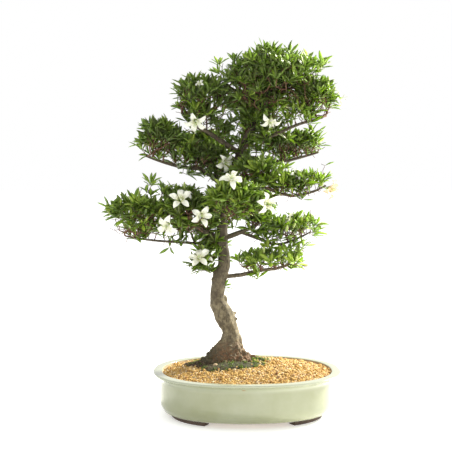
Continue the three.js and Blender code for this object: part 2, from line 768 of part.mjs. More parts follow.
// The point of the trunk's axis at a height above the collar, as drawn.
function trunkPoint(height) {
  const level = COLLAR.z + height * RISE;
  let low = 0;
  let high = 1;
  for (let i = 0; i < HALVINGS; i += 1) {
    const middle = (low + high) / 2;
    if (TRUNK_CURVE.getPoint(middle).z < level) {
      low = middle;
    } else {
      high = middle;
    }
  }
  return TRUNK_CURVE.getPoint(low);
}

// The curve of every limb by name, each starting from its parent's curve.
const LIMB_CURVES = new Map([['trunk', TRUNK_CURVE]]);
for (const branch of BRANCHES) {
  const parent = LIMB_CURVES.get(branch.parent);
  const onTrunk = branch.height !== undefined;
  const start = onTrunk ? trunkPoint(branch.height) : parent.getPointAt(branch.along);
  const route = [start, ...branch.route.map(offset => stretched(offset).add(start))];
  LIMB_CURVES.set(branch.name, new THREE.CatmullRomCurve3(route, false, 'centripetal'));
}

function branchSolid(branch, extra = 0) {
  const radii = branch.radii.map(radius => radius * BRANCH_GIRTH);
  return limb(LIMB_CURVES.get(branch.name).points, radii, BRANCH_SIDES, extra);
}

// ---- Foliage and flowers --------------------------------------------------------------------

// How far a pad's surface bulges at a direction, so that no pad is a plain oval.
function lump(direction, seed) {
  const [waveX, waveY, waveZ] = LUMP_WAVES;
  const across = Math.sin(waveX * direction.x + seed);
  const back = Math.sin(waveY * direction.y - 2 * seed);
  const up = Math.sin(waveZ * direction.z + 3 * seed);
  return 1 + (LUMP_SHARE * (across + back + up)) / 2;
}

function padCentre(pad) {
  return LIMB_CURVES.get(pad.branch).getPointAt(pad.along).add(stretched(pad.lift));
}

function padHalf(pad, extra = 0) {
  const grown = stretched(pad.half).multiplyScalar(PAD_FULLNESS);
  return grown.addScalar(extra);
}

// The point of a pad's surface in a direction from its middle.
function padSurface(pad, direction, extra = 0) {
  const unit = direction.clone().normalize();
  const swell = lump(unit, PADS.indexOf(pad));
  return unit.multiplyScalar(swell).multiply(padHalf(pad, extra)).add(padCentre(pad));
}

function padSolid(pad, extra = 0) {
  const ball = new THREE.IcosahedronGeometry(1, PAD_DETAIL);
  const place = ball.attributes.position;
  for (let i = 0; i < place.count; i += 1) {
    const point = padSurface(pad, new THREE.Vector3().fromBufferAttribute(place, i), extra);
    place.setXYZ(i, point.x, point.y, point.z);
  }
  return solidOf(ball);
}

// A flower at the origin that opens towards +Z, with its throat reaching down to -THROAT_LENGTH.
function corolla() {
  const star = new THREE.Shape();
  const outline = [];
  for (let i = 0; i < PETALS; i += 1) {
    const bearing = (2 * Math.PI * i) / PETALS;
    const spread = Math.PI / PETALS;
    outline.push([PETAL_NOTCH, bearing - spread]);
    for (const [share, side] of PETAL_EDGE) {
      const radius = FLOWER_RADIUS * share;
      outline.push([radius, bearing + (side * PETAL_WIDTH) / radius]);
    }
  }
  star.setFromPoints(outline.map(([r, a]) => new THREE.Vector2(r * Math.cos(a), r * Math.sin(a))));
  const sheet = new THREE.ExtrudeGeometry(star, { depth: PETAL_THICKNESS, bevelEnabled: false });
  const place = sheet.attributes.position;
  for (let i = 0; i < place.count; i += 1) {
    const radius = Math.hypot(place.getX(i), place.getY(i));
    place.setZ(i, place.getZ(i) + (FLOWER_CUP * radius) / FLOWER_RADIUS);
  }
  const throat = new THREE.CylinderGeometry(THROAT_MOUTH, THROAT_STALK, THROAT_LENGTH + 2, THROAT_SIDES);
  throat.rotateX(Math.PI / 2);
  throat.translate(0, 0, THROAT_OVERLAP - THROAT_LENGTH / 2);
  return solidOf(sheet).add(solidOf(throat));
}

const PADS_BY_NAME = new Map(PADS.map(pad => [pad.name, pad]));

// A flower standing on its pad's surface.
function flowerSolid(flower) {
  const pad = PADS_BY_NAME.get(flower.pad);
  const side = new THREE.Vector3(...flower.side);
  const seat = padSurface(pad, side);
  const outward = side.clone().divide(padHalf(pad)).normalize();
  const facing = outward.lerp(side.clone().normalize(), FACE_OUT_SHARE).normalize();
  const turn = new THREE.Quaternion().setFromUnitVectors(UP, facing);
  const middle = seat.clone().addScaledVector(facing, THROAT_LENGTH - THROAT_SINK);
  const place = new THREE.Matrix4().compose(middle, turn, new THREE.Vector3(1, 1, 1));
  return corolla().transform(place.elements);
}

// ---- Assembly -----------------------------------------------------------------------------

const bonsai = new THREE.Group();

function addPiece(name, solid, material) {
  bonsai.add(meshOf(solid, name, material));
}

function addPot() {
  addPiece('pot_body', potBody(), GLAZE);
  for (const [rightName, right] of [['left', -1], ['right', 1]]) {
    for (const [backName, back] of [['front', -1], ['back', 1]]) {
      addPiece(`pot_foot_${backName}_${rightName}`, potFoot(right, back), CLAY);
    }
  }
  drainPlaces().forEach((x, i) => {
    const name = ['left', 'right'][i];
    addPiece(`drain_screen_${name}`, drainScreen(x), SCREEN_PLASTIC);
    addPiece(`screen_clip_${name}`, screenClip(x), WIRE);
  });
}

// Room that a screen and its clip need under the soil.
function screenRoom(x) {
  const side = SCREEN_CELLS * SCREEN_PITCH + SCREEN_BAR + 2 * CLEARANCE;
  const height = SCREEN_THICKNESS + 2 * CLEARANCE;
  const room = new THREE.BoxGeometry(side, side, height * 2);
  room.translate(x, 0, FLOOR_LEVEL + CLEARANCE);
  return solidOf(room).add(screenClip(x, CLEARANCE));
}

function addGround() {
  const wood = trunk(CLEARANCE);
  const bed = cutBy(soilBed(), [wood, ...drainPlaces().map(screenRoom)]);
  addPiece('soil_bed', largest(bed), GRAVEL);
  const raised = soilBed(CLEARANCE);
  const stone = largest(cutBy(paleStone(), [raised, wood]));
  addPiece('pale_stone', stone, STONE);
  const laid = [raised, wood, grown(stone, CLEARANCE)];
  for (const patch of MOSS_PATCHES) {
    const cushion = largest(cutBy(mossPatch(patch), laid));
    addPiece(patch.name, cushion, MOSS);
    laid.push(grown(cushion, CLEARANCE));
  }
}

// A solid a little larger all round its own middle.
function grown(solid, extra) {
  const { min, max } = solid.boundingBox();
  const middle = [0, 1, 2].map(i => (min[i] + max[i]) / 2);
  const scale = [0, 1, 2].map(i => 1 + (2 * extra) / (max[i] - min[i]));
  return solid.translate(middle.map(v => -v)).scale(scale).translate(middle);
}

function addWood() {
  addPiece('trunk', trunk(), BARK);
  for (const branch of BRANCHES) {
    const parent = BRANCHES.find(other => other.name === branch.parent);
    const neighbours = [trunk(CLEARANCE)];
    if (parent) {
      neighbours.push(branchSolid(parent, CLEARANCE));
    }
    addPiece(branch.name, largest(cutBy(branchSolid(branch), neighbours)), BARK);
  }
}

function addCrown() {
  const taken = [trunk(CLEARANCE), ...BRANCHES.map(branch => branchSolid(branch, CLEARANCE))];
  for (const pad of PADS) {
    addPiece(pad.name, largest(cutBy(padSolid(pad), taken)), FOLIAGE);
    taken.push(padSolid(pad, CLEARANCE));
  }
  for (const flower of FLOWERS) {
    const cut = largest(cutBy(flowerSolid(flower), taken));
    addPiece(flower.name, cut, PETAL);
    taken.push(grown(cut, CLEARANCE));
  }
}

addPot();
addGround();
addWood();
addCrown();

// Stands the object over the origin, by the middle of its footprint.
const bounds = new THREE.Box3().setFromObject(bonsai);
const middle = bounds.getCenter(new THREE.Vector3());
bonsai.position.set(-middle.x, -middle.y, -bounds.min.z);
bonsai.updateMatrixWorld(true);

export default bonsai;
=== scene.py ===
"""A flowering azalea bonsai in an oval glazed pot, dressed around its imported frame.

Lengths are in metres. Every place comes from the frame: the wood, twigs, leaves and flowers grow
on the frame's branches and foliage pads, and the pot, gravel and moss fit the frame's boxes.
"""

from __future__ import annotations

import logging
import math
from dataclasses import dataclass, field
from enum import Enum

import bmesh
import bpy
import numpy as np
from mathutils import Matrix, Vector, noise
from mathutils.bvhtree import BVHTree

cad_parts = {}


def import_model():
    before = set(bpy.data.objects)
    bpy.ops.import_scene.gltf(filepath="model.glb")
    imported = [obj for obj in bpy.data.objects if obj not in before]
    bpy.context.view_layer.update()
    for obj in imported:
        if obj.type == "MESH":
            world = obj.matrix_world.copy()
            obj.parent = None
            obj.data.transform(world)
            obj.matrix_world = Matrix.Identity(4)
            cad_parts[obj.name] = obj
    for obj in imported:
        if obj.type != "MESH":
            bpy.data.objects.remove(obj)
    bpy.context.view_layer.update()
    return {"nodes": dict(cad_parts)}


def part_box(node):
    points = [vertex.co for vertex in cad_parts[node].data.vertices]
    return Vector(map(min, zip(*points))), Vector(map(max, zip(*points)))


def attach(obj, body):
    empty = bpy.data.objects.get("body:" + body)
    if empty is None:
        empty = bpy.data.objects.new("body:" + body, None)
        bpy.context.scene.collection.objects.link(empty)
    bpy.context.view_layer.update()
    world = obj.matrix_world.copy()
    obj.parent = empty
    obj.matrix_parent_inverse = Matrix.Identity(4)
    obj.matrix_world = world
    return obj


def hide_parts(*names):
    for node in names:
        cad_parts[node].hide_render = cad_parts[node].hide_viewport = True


LOG = logging.getLogger("bonsai")
MM = 0.001
BODY = "root"
UV_MAP = "OFBake"
TILES = 8
LEAF_ROWS = 5.0
TINY = 1e-9
DOWN = Vector((0, 0, -1))
ABOVE = 50 * MM  # how far above a surface a ray starts
FULL_TURN = 2 * math.pi
Material = bpy.types.Material
Thing = bpy.types.Object
Draws = np.random.Generator
Points = np.ndarray
Triple = tuple[float, float, float]
Colour = Triple
Stops = tuple[tuple[float, Colour], ...]
MOSS_STOPS: Stops = (
    (0.0, (0.03, 0.035, 0.012)),
    (0.2, (0.05, 0.065, 0.015)),
    (0.4, (0.09, 0.14, 0.025)),
    (0.6, (0.17, 0.27, 0.035)),
    (0.8, (0.28, 0.42, 0.05)),
    (1.0, (0.40, 0.54, 0.08)),
)


# Shader building


class Signal:
    """An output socket that does arithmetic by adding Math nodes."""

    def __init__(self, shading: "Shading", socket: bpy.types.NodeSocket) -> None:
        """Wraps a socket."""
        self.shading = shading
        self.socket = socket

    def __add__(self, other: "Signal | float") -> "Signal":
        """Adds."""
        return self.shading.math("ADD", self, other)

    def __radd__(self, other: float) -> "Signal":
        """Adds, from the right."""
        return self.shading.math("ADD", other, self)

    def __sub__(self, other: "Signal | float") -> "Signal":
        """Subtracts."""
        return self.shading.math("SUBTRACT", self, other)

    def __rsub__(self, other: float) -> "Signal":
        """Subtracts from a number."""
        return self.shading.math("SUBTRACT", other, self)

    def __mul__(self, other: "Signal | float") -> "Signal":
        """Multiplies."""
        return self.shading.math("MULTIPLY", self, other)

    def __rmul__(self, other: float) -> "Signal":
        """Multiplies, from the right."""
        return self.shading.math("MULTIPLY", other, self)

    def __gt__(self, other: "Signal | float") -> "Signal":
        """Gives 1 where this is the larger."""
        return self.shading.math("GREATER_THAN", self, other)

    def size(self) -> "Signal":
        """Drops the sign."""
        return self.shading.math("ABSOLUTE", self, 0.0)


class Shading:
    """Builds one material out of nodes."""

    def __init__(self, name: str) -> None:
        """Starts an empty material.

        Args:
            name: the material's name.
        """
        self.material = bpy.data.materials.new(name)
        self.material.use_nodes = True
        self.material.node_tree.nodes.clear()

    def node(
        self, kind: str, settings: dict[str, object], sockets: dict[str | int, object]
    ) -> bpy.types.Node:
        """Adds a node.

        Args:
            kind: the node's type, without its ShaderNode prefix.
            settings: the node's own settings, with "stops" for a ramp's stops, set first.
            sockets: a value or a Signal for each input, by name or place.

        Returns:
            The new node.
        """
        made = self.material.node_tree.nodes.new("ShaderNode" + kind)
        for key, value in settings.items():
            if key == "stops":
                self._set_stops(made.color_ramp, value)
            else:
                setattr(made, key, value)
        for key, value in sockets.items():
            if isinstance(value, Signal):
                self.material.node_tree.links.new(value.socket, made.inputs[key])
            else:
                made.inputs[key].default_value = value
        return made

    @staticmethod
    def _set_stops(ramp: bpy.types.ColorRamp, stops: Stops) -> None:
        """Gives a ramp its stops.

        Args:
            ramp: the colour ramp.
            stops: the place and colour of each stop.
        """
        while len(ramp.elements) < len(stops):
            ramp.elements.new(1.0)
        for element, (place, colour) in zip(ramp.elements, stops):
            element.position = place
            element.color = (*colour, 1.0)

    def signal(self, node: bpy.types.Node, output: str | int = 0) -> Signal:
        """Wraps one of a node's outputs."""
        return Signal(self, node.outputs[output])

    def math(self, operation: str, first: Signal | float, second: Signal | float) -> Signal:
        """Adds a Math node."""
        return self.signal(self.node("Math", {"operation": operation}, {0: first, 1: second}))

    def between(
        self, value: Signal, low: float, high: float, start: float, end: float
    ) -> Signal:
        """Maps a range onto another, held at its ends."""
        sockets = {0: value, 1: low, 2: high, 3: start, 4: end}
        return self.signal(self.node("MapRange", {"clamp": True}, sockets))

    def mix(
        self, first: Signal | Colour, second: Signal | Colour, share: Signal | float
    ) -> Signal:
        """Mixes two colours.

        Args:
            first: the colour at share 0.
            second: the colour at share 1.
            share: how much of the second.

        Returns:
            The mixed colour.
        """
        pair = [c if isinstance(c, Signal) else (*c, 1.0) for c in (first, second)]
        sockets = {0: share, 6: pair[0], 7: pair[1]}
        return self.signal(self.node("Mix", {"data_type": "RGBA"}, sockets), 2)

    def ramp(self, value: Signal, stops: Stops) -> Signal:
        """Colours a value by a ramp."""
        return self.signal(self.node("ValToRGB", {"stops": stops}, {0: value}))

    def place(self) -> Signal:
        """Gives the point's own coordinates, in metres."""
        return self.signal(self.node("TexCoord", {}, {}), "Object")

    def atlas(self) -> Signal:
        """Gives the place on the shared map that small repeated pieces are laid on."""
        return self.signal(self.node("UVMap", {"uv_map": UV_MAP}, {}))

    def parts(self, vector: Signal) -> tuple[Signal, Signal, Signal]:
        """Splits a vector into its three numbers."""
        made = self.node("SeparateXYZ", {}, {0: vector})
        return self.signal(made, 0), self.signal(made, 1), self.signal(made, 2)

    def vector(self, operation: str, *vectors: Signal | Triple | Vector) -> bpy.types.Node:
        """Adds a Vector Math node of an operation and its vectors."""
        return self.node("VectorMath", {"operation": operation}, dict(enumerate(vectors)))

    def stretch(self, vector: Signal, scale: Triple) -> Signal:
        """Scales a vector by three numbers."""
        return self.signal(self.vector("MULTIPLY", vector, scale))

    def distance(self, where: Signal, spot: Vector, scale: Triple) -> Signal:
        """Gives how far a place is from a spot, each axis being scaled first."""
        away = self.stretch(self.signal(self.vector("SUBTRACT", where, spot)), scale)
        return self.signal(self.vector("LENGTH", away), "Value")

    def tiles(self, where: Signal) -> tuple[Signal, Signal, Signal, Signal]:
        """Splits the shared map into tiles."""
        across, along, _ = self.parts(self.stretch(where, (TILES, TILES, 1.0)))
        return self.math("FLOOR", across, 0.0), self.math("FLOOR", along, 0.0), across, along

    def noise(
        self, where: Signal, scale: float, detail: float = 3.0, roughness: float = 0.55
    ) -> Signal:
        """Adds a noise pattern."""
        sockets = {"Vector": where, "Scale": scale, "Detail": detail, "Roughness": roughness}
        return self.signal(self.node("TexNoise", {}, sockets))

    def cells(self, where: Signal, scale: float) -> Signal:
        """Gives how far a place is from the nearest of many scattered spots."""
        return self.signal(self.node("TexVoronoi", {}, {"Vector": where, "Scale": scale}))

    def bump(self, height: Signal, strength: float, depth: float) -> Signal:
        """Turns a height into a normal."""
        sockets = {"Height": height, "Strength": strength, "Distance": depth}
        return self.signal(self.node("Bump", {}, sockets))

    def finish(
        self, through: float = 0.0, glow: Colour = (1.0, 1.0, 1.0), **sockets: object
    ) -> Material:
        """Ends the material in its surface.

        Args:
            through: how much light passes through a thin piece, from 0 to 1.
            glow: the colour of that light.
            sockets: the surface's inputs, with _ for a space.

        Returns:
            The material.
        """
        inputs = {key.replace("_", " "): value for key, value in sockets.items()}
        surface = self.signal(self.node("BsdfPrincipled", {}, inputs))
        if through > 0.0:
            passed = self.signal(self.node("BsdfTranslucent", {}, {"Color": (*glow, 1.0)}))
            surface = self.signal(self.node("MixShader", {}, {0: through, 1: surface, 2: passed}))
        self.node("OutputMaterial", {}, {0: surface})
        return self.material


# Finishes


@dataclass(frozen=True)
class Glaze:
    """The pot's pale celadon glaze: its rim top paler, partly glaze thinning at the edge and partly
    painted highlight, its cove under the lip painted pale as painted light, and darker towards the
    bottom.
    """

    body: Colour = (0.242, 0.256, 0.139)
    pale: Colour = (0.35, 0.372, 0.282)
    lower_tone: Colour = (0.205, 0.214, 0.116)
    chip: Colour = (0.26, 0.13, 0.05)
    freckle: Colour = (0.33, 0.30, 0.18)
    chip_shape: Triple = (0.32, 0.4, 1.0)

    def material(self, rim_level: float, cove_level: float, chip_at: Vector) -> Material:
        """Makes the glaze.

        Args:
            rim_level: the height of the rim's top face.
            cove_level: the height of the cove under the lip, which is painted pale as painted light
                over its shade.
            chip_at: a spot under the lip where the glaze missed.

        Returns:
            The material.
        """
        shade = Shading("celadon_glaze")
        where = shade.place()
        _, _, up = shade.parts(where)
        clouds = shade.noise(where, 14.0, 4.0, 0.6)
        fine = shade.noise(where, 420.0, 2.0)
        specks = shade.cells(where, 520.0)
        colour = shade.mix(self.body, self.pale, shade.between(clouds, 0.35, 0.75, 0.0, 0.5))
        # The rim's top and lip are painted paler: partly glaze thinning at the edge, partly painted
        # highlight where they face the light above.
        rim = shade.between(up, rim_level - 4 * MM, rim_level - 0.5 * MM, 0.0, 0.85)
        colour = shade.mix(colour, self.pale, rim)
        # Painted light: the cove under the lip is painted paler to lift its shade.
        cove_painted_light = shade.between((up - cove_level).size(), 2 * MM, 8 * MM, 0.4, 0.0)
        colour = shade.mix(colour, self.pale, cove_painted_light)
        # Darker towards the bottom of the wall.
        low = shade.between(up, 8 * MM, 30 * MM, 0.55, 0.0)
        colour = shade.mix(colour, self.lower_tone, low)
        freckles = shade.between(specks, 0.07, 0.11, 0.35, 0.0)
        freckles *= shade.between(fine, 0.45, 0.6, 0.0, 1.0)
        colour = shade.mix(colour, self.freckle, freckles)
        ragged = shade.noise(where, 480.0, 3.0) * (2.6 * MM)
        gap = shade.distance(where, chip_at, self.chip_shape) + ragged
        colour = shade.mix(colour, self.chip, shade.between(gap, 1.8 * MM, 2.7 * MM, 0.9, 0.0))
        height = shade.noise(where, 55.0, 2.0) * 0.7 + fine * 0.12
        return shade.finish(
            Base_Color=colour,
            Roughness=shade.between(clouds, 0.3, 0.7, 0.16, 0.24),
            Coat_Weight=0.35,
            Coat_Roughness=0.06,
            Normal=shade.bump(height, 0.25, 0.5 * MM),
        )


@dataclass(frozen=True)
class BareClay:
    """Unglazed fired clay."""

    name: str
    body: Colour
    dusty: Colour
    stain: Colour

    def material(self) -> Material:
        """Makes the clay.

        Returns:
            The material.
        """
        shade = Shading(self.name)
        where = shade.place()
        patches = shade.noise(where, 60.0, 4.0, 0.65)
        grit = shade.noise(where, 900.0, 3.0, 0.7)
        colour = shade.mix(self.body, self.dusty, shade.between(patches, 0.4, 0.7, 0.0, 0.8))
        colour = shade.mix(colour, self.stain, shade.between(grit, 0.58, 0.7, 0.0, 0.6))
        return shade.finish(
            Base_Color=colour,
            Roughness=shade.between(grit, 0.3, 0.7, 0.78, 0.95),
            Normal=shade.bump(grit + patches * 0.5, 0.5, 0.5 * MM),
        )


@dataclass(frozen=True)
class Bark:
    """Smooth grey-brown bark with pale flaking patches and long fibres."""

    dark: Colour = (0.034, 0.024, 0.014)
    mid: Colour = (0.098, 0.077, 0.044)
    pale: Colour = (0.285, 0.238, 0.142)
    root: Colour = (0.172, 0.090, 0.042)
    moss_and_shade_dark: Colour = (0.046, 0.044, 0.020)

    def material(self, root_level: float, crown_level: float, moss_and_shade_side: float) -> Material:
        """Makes the bark of the trunk and branches.

        Args:
            root_level: the height below which the roots are rough and dark.
            crown_level: the height above which the wood is young and brown.
            moss_and_shade_side: the X left of which the roots are painted dark, partly moss and
                partly painted shade on the side away from the key light.

        Returns:
            The material.
        """
        shade = Shading("azalea_bark")
        where = shade.place()
        across, _, up = shade.parts(where)
        flow = shade.stretch(where, (1.0, 1.0, 0.22))
        fibres = shade.noise(flow, 330.0, 4.0, 0.65)
        flakes = shade.noise(where, 75.0, 5.0, 0.7)
        blotch = shade.noise(where, 24.0, 3.0, 0.6)
        colour = shade.mix(self.mid, self.pale, shade.between(flakes, 0.42, 0.62, 0.0, 0.85))
        colour = shade.mix(colour, self.dark, shade.between(fibres, 0.36, 0.5, 0.75, 0.0))
        colour = shade.mix(colour, self.dark, shade.between(blotch, 0.56, 0.72, 0.0, 0.6))
        young = shade.between(up, crown_level - 110 * MM, crown_level + 50 * MM, 0.0, 0.66)
        colour = shade.mix(colour, self.dark, young)
        start, end = root_level + 30 * MM, root_level + 58 * MM
        crust = shade.between(up + blotch * (30 * MM), start, end, 0.95, 0.0)
        lumps = shade.between(shade.noise(where, 210.0, 4.0), 0.45, 0.62, 0.0, 1.0)
        # Painted shade: the roots' left side, away from the key light, is mixed towards a dark moss
        # colour, partly real moss and partly painted shade.
        ragged = across + blotch * (50 * MM)
        moss_and_painted_shade = shade.between(ragged, moss_and_shade_side, moss_and_shade_side + 30 * MM, 0.85, 0.0)
        rough = shade.mix(shade.mix(self.root, self.mid, lumps), self.moss_and_shade_dark, moss_and_painted_shade)
        colour = shade.mix(colour, rough, crust)
        height = fibres * 0.6 + flakes * 0.6
        return shade.finish(
            Base_Color=colour,
            Roughness=shade.between(fibres, 0.3, 0.7, 0.72, 0.92),
            Normal=shade.bump(height, 0.8, 1.2 * MM),
        )


@dataclass(frozen=True)
class TwigBark:
    """Thin dark bark of the twigs, patterned on the shared map."""

    dark: Colour = (0.060, 0.031, 0.017)
    warm: Colour = (0.205, 0.100, 0.052)

    def material(self) -> Material:
        """Makes the twigs' bark.

        Returns:
            The material.
        """
        shade = Shading("twig_bark")
        where = shade.atlas()
        mottle = shade.noise(where, 18.0, 4.0, 0.7)
        colour = shade.mix(self.dark, self.warm, shade.between(mottle, 0.35, 0.65, 0.0, 1.0))
        return shade.finish(Base_Color=colour, Roughness=0.85)


@dataclass(frozen=True)
class LeafSkin:
    """Leaf colours: rows of the map run from dark to bright, for old to new leaves and also for
    painted light and shade, the right half is the underside.
    """

    stops: Stops = (
        (0.0, (0.044, 0.036, 0.012)),
        (0.2, (0.082, 0.092, 0.016)),
        (0.4, (0.138, 0.190, 0.024)),
        (0.6, (0.245, 0.355, 0.034)),
        (0.8, (0.400, 0.545, 0.055)),
        (1.0, (0.560, 0.680, 0.100)),
    )
    under: Colour = (0.20, 0.30, 0.10)
    rib: Colour = (0.33, 0.44, 0.14)
    vein: Colour = (0.02, 0.04, 0.01)
    tip: Colour = (0.30, 0.26, 0.05)
    glow: Colour = (0.58, 0.80, 0.10)
    name: str = "azalea_leaf"

    def material(self) -> Material:
        """Makes the leaves' surface.

        Returns:
            The material.
        """
        shade = Shading(self.name)
        where = shade.atlas()
        column, row, u, v = shade.tiles(where)
        across, along = u - column, v - row
        pick = shade.node("CombineXYZ", {}, {0: column, 1: row, 2: 0.0})
        chance = shade.node("TexWhiteNoise", {}, {"Vector": shade.signal(pick)})
        drift = shade.signal(chance, "Value") - 0.5
        colour = shade.ramp((row + drift * 1.3) * (1 / LEAF_ROWS), self.stops)
        veins = shade.noise(shade.stretch(where, (60.0, 180.0, 1.0)), 4.0, 3.0)
        rib = shade.between((across - 0.5).size(), 0.03, 0.09, 0.55, 0.0)
        colour = shade.mix(colour, self.rib, rib)
        colour = shade.mix(colour, self.vein, shade.between(veins, 0.5, 0.7, 0.0, 0.3))
        colour = shade.mix(colour, self.tip, shade.between(along, 0.75, 1.0, 0.0, 0.25))
        below = column > (TILES / 2 - 0.5)
        colour = shade.mix(colour, self.under, below * 0.45)
        return shade.finish(
            through=0.36,
            glow=self.glow,
            Base_Color=colour,
            Roughness=shade.between(veins, 0.3, 0.7, 0.3, 0.44),
            Specular_IOR_Level=0.45,
        )


@dataclass(frozen=True)
class PetalSkin:
    """White petals with a greenish yellow throat."""

    name: str = "white_petal"
    white: Colour = (0.86, 0.87, 0.79)
    cream: Colour = (0.78, 0.78, 0.58)
    throat: Colour = (0.50, 0.58, 0.20)
    spot: Colour = (0.45, 0.55, 0.12)
    glow: Colour = (0.92, 0.91, 0.80)

    def material(self) -> Material:
        """Makes the petals' surface, mapped from the throat at 0 to the tip at 1.

        Returns:
            The material.
        """
        shade = Shading(self.name)
        where = shade.atlas()
        across, along, _ = shade.parts(where)
        veins = shade.noise(shade.stretch(where, (30.0, 3.0, 1.0)), 3.0, 3.0)
        colour = shade.mix(self.throat, self.cream, shade.between(along, 0.04, 0.2, 0.0, 1.0))
        colour = shade.mix(colour, self.white, shade.between(along, 0.15, 0.38, 0.0, 1.0))
        colour = shade.mix(colour, self.cream, shade.between(veins, 0.5, 0.72, 0.0, 0.4))
        dots = shade.cells(where, 34.0)
        band = shade.between((across - 0.5).size(), 0.1, 0.3, 1.0, 0.0)
        reach = shade.between((along - 0.36).size(), 0.05, 0.2, 1.0, 0.0)
        spots = shade.between(dots, 0.16, 0.24, 0.7, 0.0) * band * reach
        colour = shade.mix(colour, self.spot, spots)
        return shade.finish(through=0.3, glow=self.glow, Base_Color=colour, Roughness=0.5)


@dataclass(frozen=True)
class Plain:
    """A small part's finish: one colour broken by noise on the shared map."""

    name: str
    colour: Colour
    other: Colour
    roughness: float = 0.6
    through: float = 0.0

    def material(self) -> Material:
        """Makes the finish.

        Returns:
            The material.
        """
        shade = Shading(self.name)
        mottle = shade.between(shade.noise(shade.atlas(), 9.0, 3.0, 0.6), 0.38, 0.62, 0.0, 1.0)
        colour = shade.mix(self.colour, self.other, mottle)
        return shade.finish(
            self.through, self.other, Base_Color=colour, Roughness=self.roughness
        )


@dataclass(frozen=True)
class GrainSkin:
    """Gravel colours, one of the map's tiles for each kind of grain."""

    stops: Stops = (
        (0.0, (0.44, 0.26, 0.065)),
        (0.34, (0.54, 0.35, 0.105)),
        (0.52, (0.66, 0.47, 0.19)),
        (0.68, (0.34, 0.16, 0.04)),
        (0.82, (0.74, 0.60, 0.36)),
        (1.0, (0.18, 0.08, 0.03)),
    )
    dirt: Colour = (0.30, 0.19, 0.10)

    def material(self) -> Material:
        """Makes the grains' surface.

        Returns:
            The material.
        """
        shade = Shading("gravel_grain")
        where = shade.atlas()
        column, row, _, _ = shade.tiles(where)
        kind = (column + row * float(TILES)) * (1 / (TILES * TILES - 1))
        colour = shade.ramp(kind, self.stops)
        dirt = shade.noise(where, 70.0, 4.0, 0.7)
        colour = shade.mix(colour, self.dirt, shade.between(dirt, 0.52, 0.7, 0.0, 0.5))
        rough = shade.between(dirt, 0.3, 0.7, 0.8, 0.95)
        return shade.finish(Base_Color=colour, Roughness=rough)


@dataclass(frozen=True)
class Ground:
    """Loose earthy surfaces: the bed under the grains, moss cushions and stone."""

    name: str
    dark: Colour
    mid: Colour
    light: Colour
    scale: float
    depth: float

    def material(self) -> Material:
        """Makes the ground.

        Returns:
            The material.
        """
        shade = Shading(self.name)
        where = shade.place()
        coarse = shade.noise(where, self.scale, 5.0, 0.7)
        fine = shade.noise(where, self.scale * 7.0, 3.0, 0.7)
        colour = shade.mix(self.dark, self.mid, shade.between(coarse, 0.38, 0.6, 0.0, 1.0))
        colour = shade.mix(colour, self.light, shade.between(fine, 0.55, 0.72, 0.0, 0.8))
        return shade.finish(
            Base_Color=colour,
            Roughness=shade.between(fine, 0.3, 0.7, 0.85, 0.98),
            Normal=shade.bump(coarse + fine * 0.6, 0.9, self.depth),
        )


# Meshes


@dataclass
class Soup:
    """Points and triangles that are still growing, with a map place for each corner."""

    points: list[Points] = field(default_factory=list)
    faces: list[Points] = field(default_factory=list)
    places: list[Points] = field(default_factory=list)
    count: int = 0

    def add(self, points: Points, faces: Points, places: Points) -> None:
        """Adds a closed shape.

        Args:
            points: its points, n by 3.
            faces: its triangles, m by 3.
            places: the map place of each corner, m by 3 by 2.
        """
        self.points.append(points)
        self.faces.append(faces + self.count)
        self.places.append(places)
        self.count += len(points)

    def stamp(self, shape: "Soup", turns: Points, origins: Points, shifts: Points) -> None:
        """Adds many turned copies of a shape.

        Args:
            shape: the shape, already gathered.
            turns: a 3 by 3 matrix for each copy, columns being the shape's axes.
            origins: where each copy's own origin goes.
            shifts: how far each copy's map places move.
        """
        points, faces, places = shape.whole()
        copies = len(origins)
        placed = np.einsum("nij,pj->npi", turns, points) + origins[:, None, :]
        starts = (np.arange(copies) * len(points))[:, None, None]
        moved = places[None] + shifts[:, None, None, :]
        whole = (faces[None] + starts).reshape(-1, 3)
        self.add(placed.reshape(-1, 3), whole, moved.reshape(-1, 3, 2))

    def whole(self) -> tuple[Points, Points, Points]:
        """Gives all points, faces and map places, each in one array."""
        return np.concatenate(self.points), np.concatenate(self.faces), np.concatenate(self.places)


def mesh_object(name: str, parts: list[tuple[Soup, Material]]) -> Thing:
    """Makes one object of soups, each with its own finish.

    Args:
        name: the object's name.
        parts: each soup and its finish.

    Returns:
        The object, linked to the scene and riding on the body.
    """
    whole = Soup()
    kinds = []
    for kind, (soup, _) in enumerate(parts):
        points, faces, places = soup.whole()
        whole.add(points, faces, places)
        kinds.append(np.full(len(faces), kind, dtype=np.int32))
    points, faces, places = whole.whole()
    mesh = bpy.data.meshes.new(name)
    mesh.vertices.add(len(points))
    mesh.vertices.foreach_set("co", points.astype(np.float32).ravel())
    mesh.loops.add(faces.size)
    mesh.loops.foreach_set("vertex_index", faces.astype(np.int32).ravel())
    mesh.polygons.add(len(faces))
    mesh.polygons.foreach_set("loop_start", np.arange(len(faces), dtype=np.int32) * 3)
    layer = mesh.uv_layers.new(name=UV_MAP)
    layer.data.foreach_set("uv", places.astype(np.float32).ravel())
    for _, material in parts:
        mesh.materials.append(material)
    mesh.polygons.foreach_set("material_index", np.concatenate(kinds))
    mesh.polygons.foreach_set("use_smooth", np.full(len(faces), True))
    mesh.update(calc_edges=True)
    return linked(bpy.data.objects.new(name, mesh))


def linked(thing: Thing) -> Thing:
    """Links an object to the scene and makes it ride on the body."""
    bpy.context.scene.collection.objects.link(thing)
    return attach(thing, BODY)


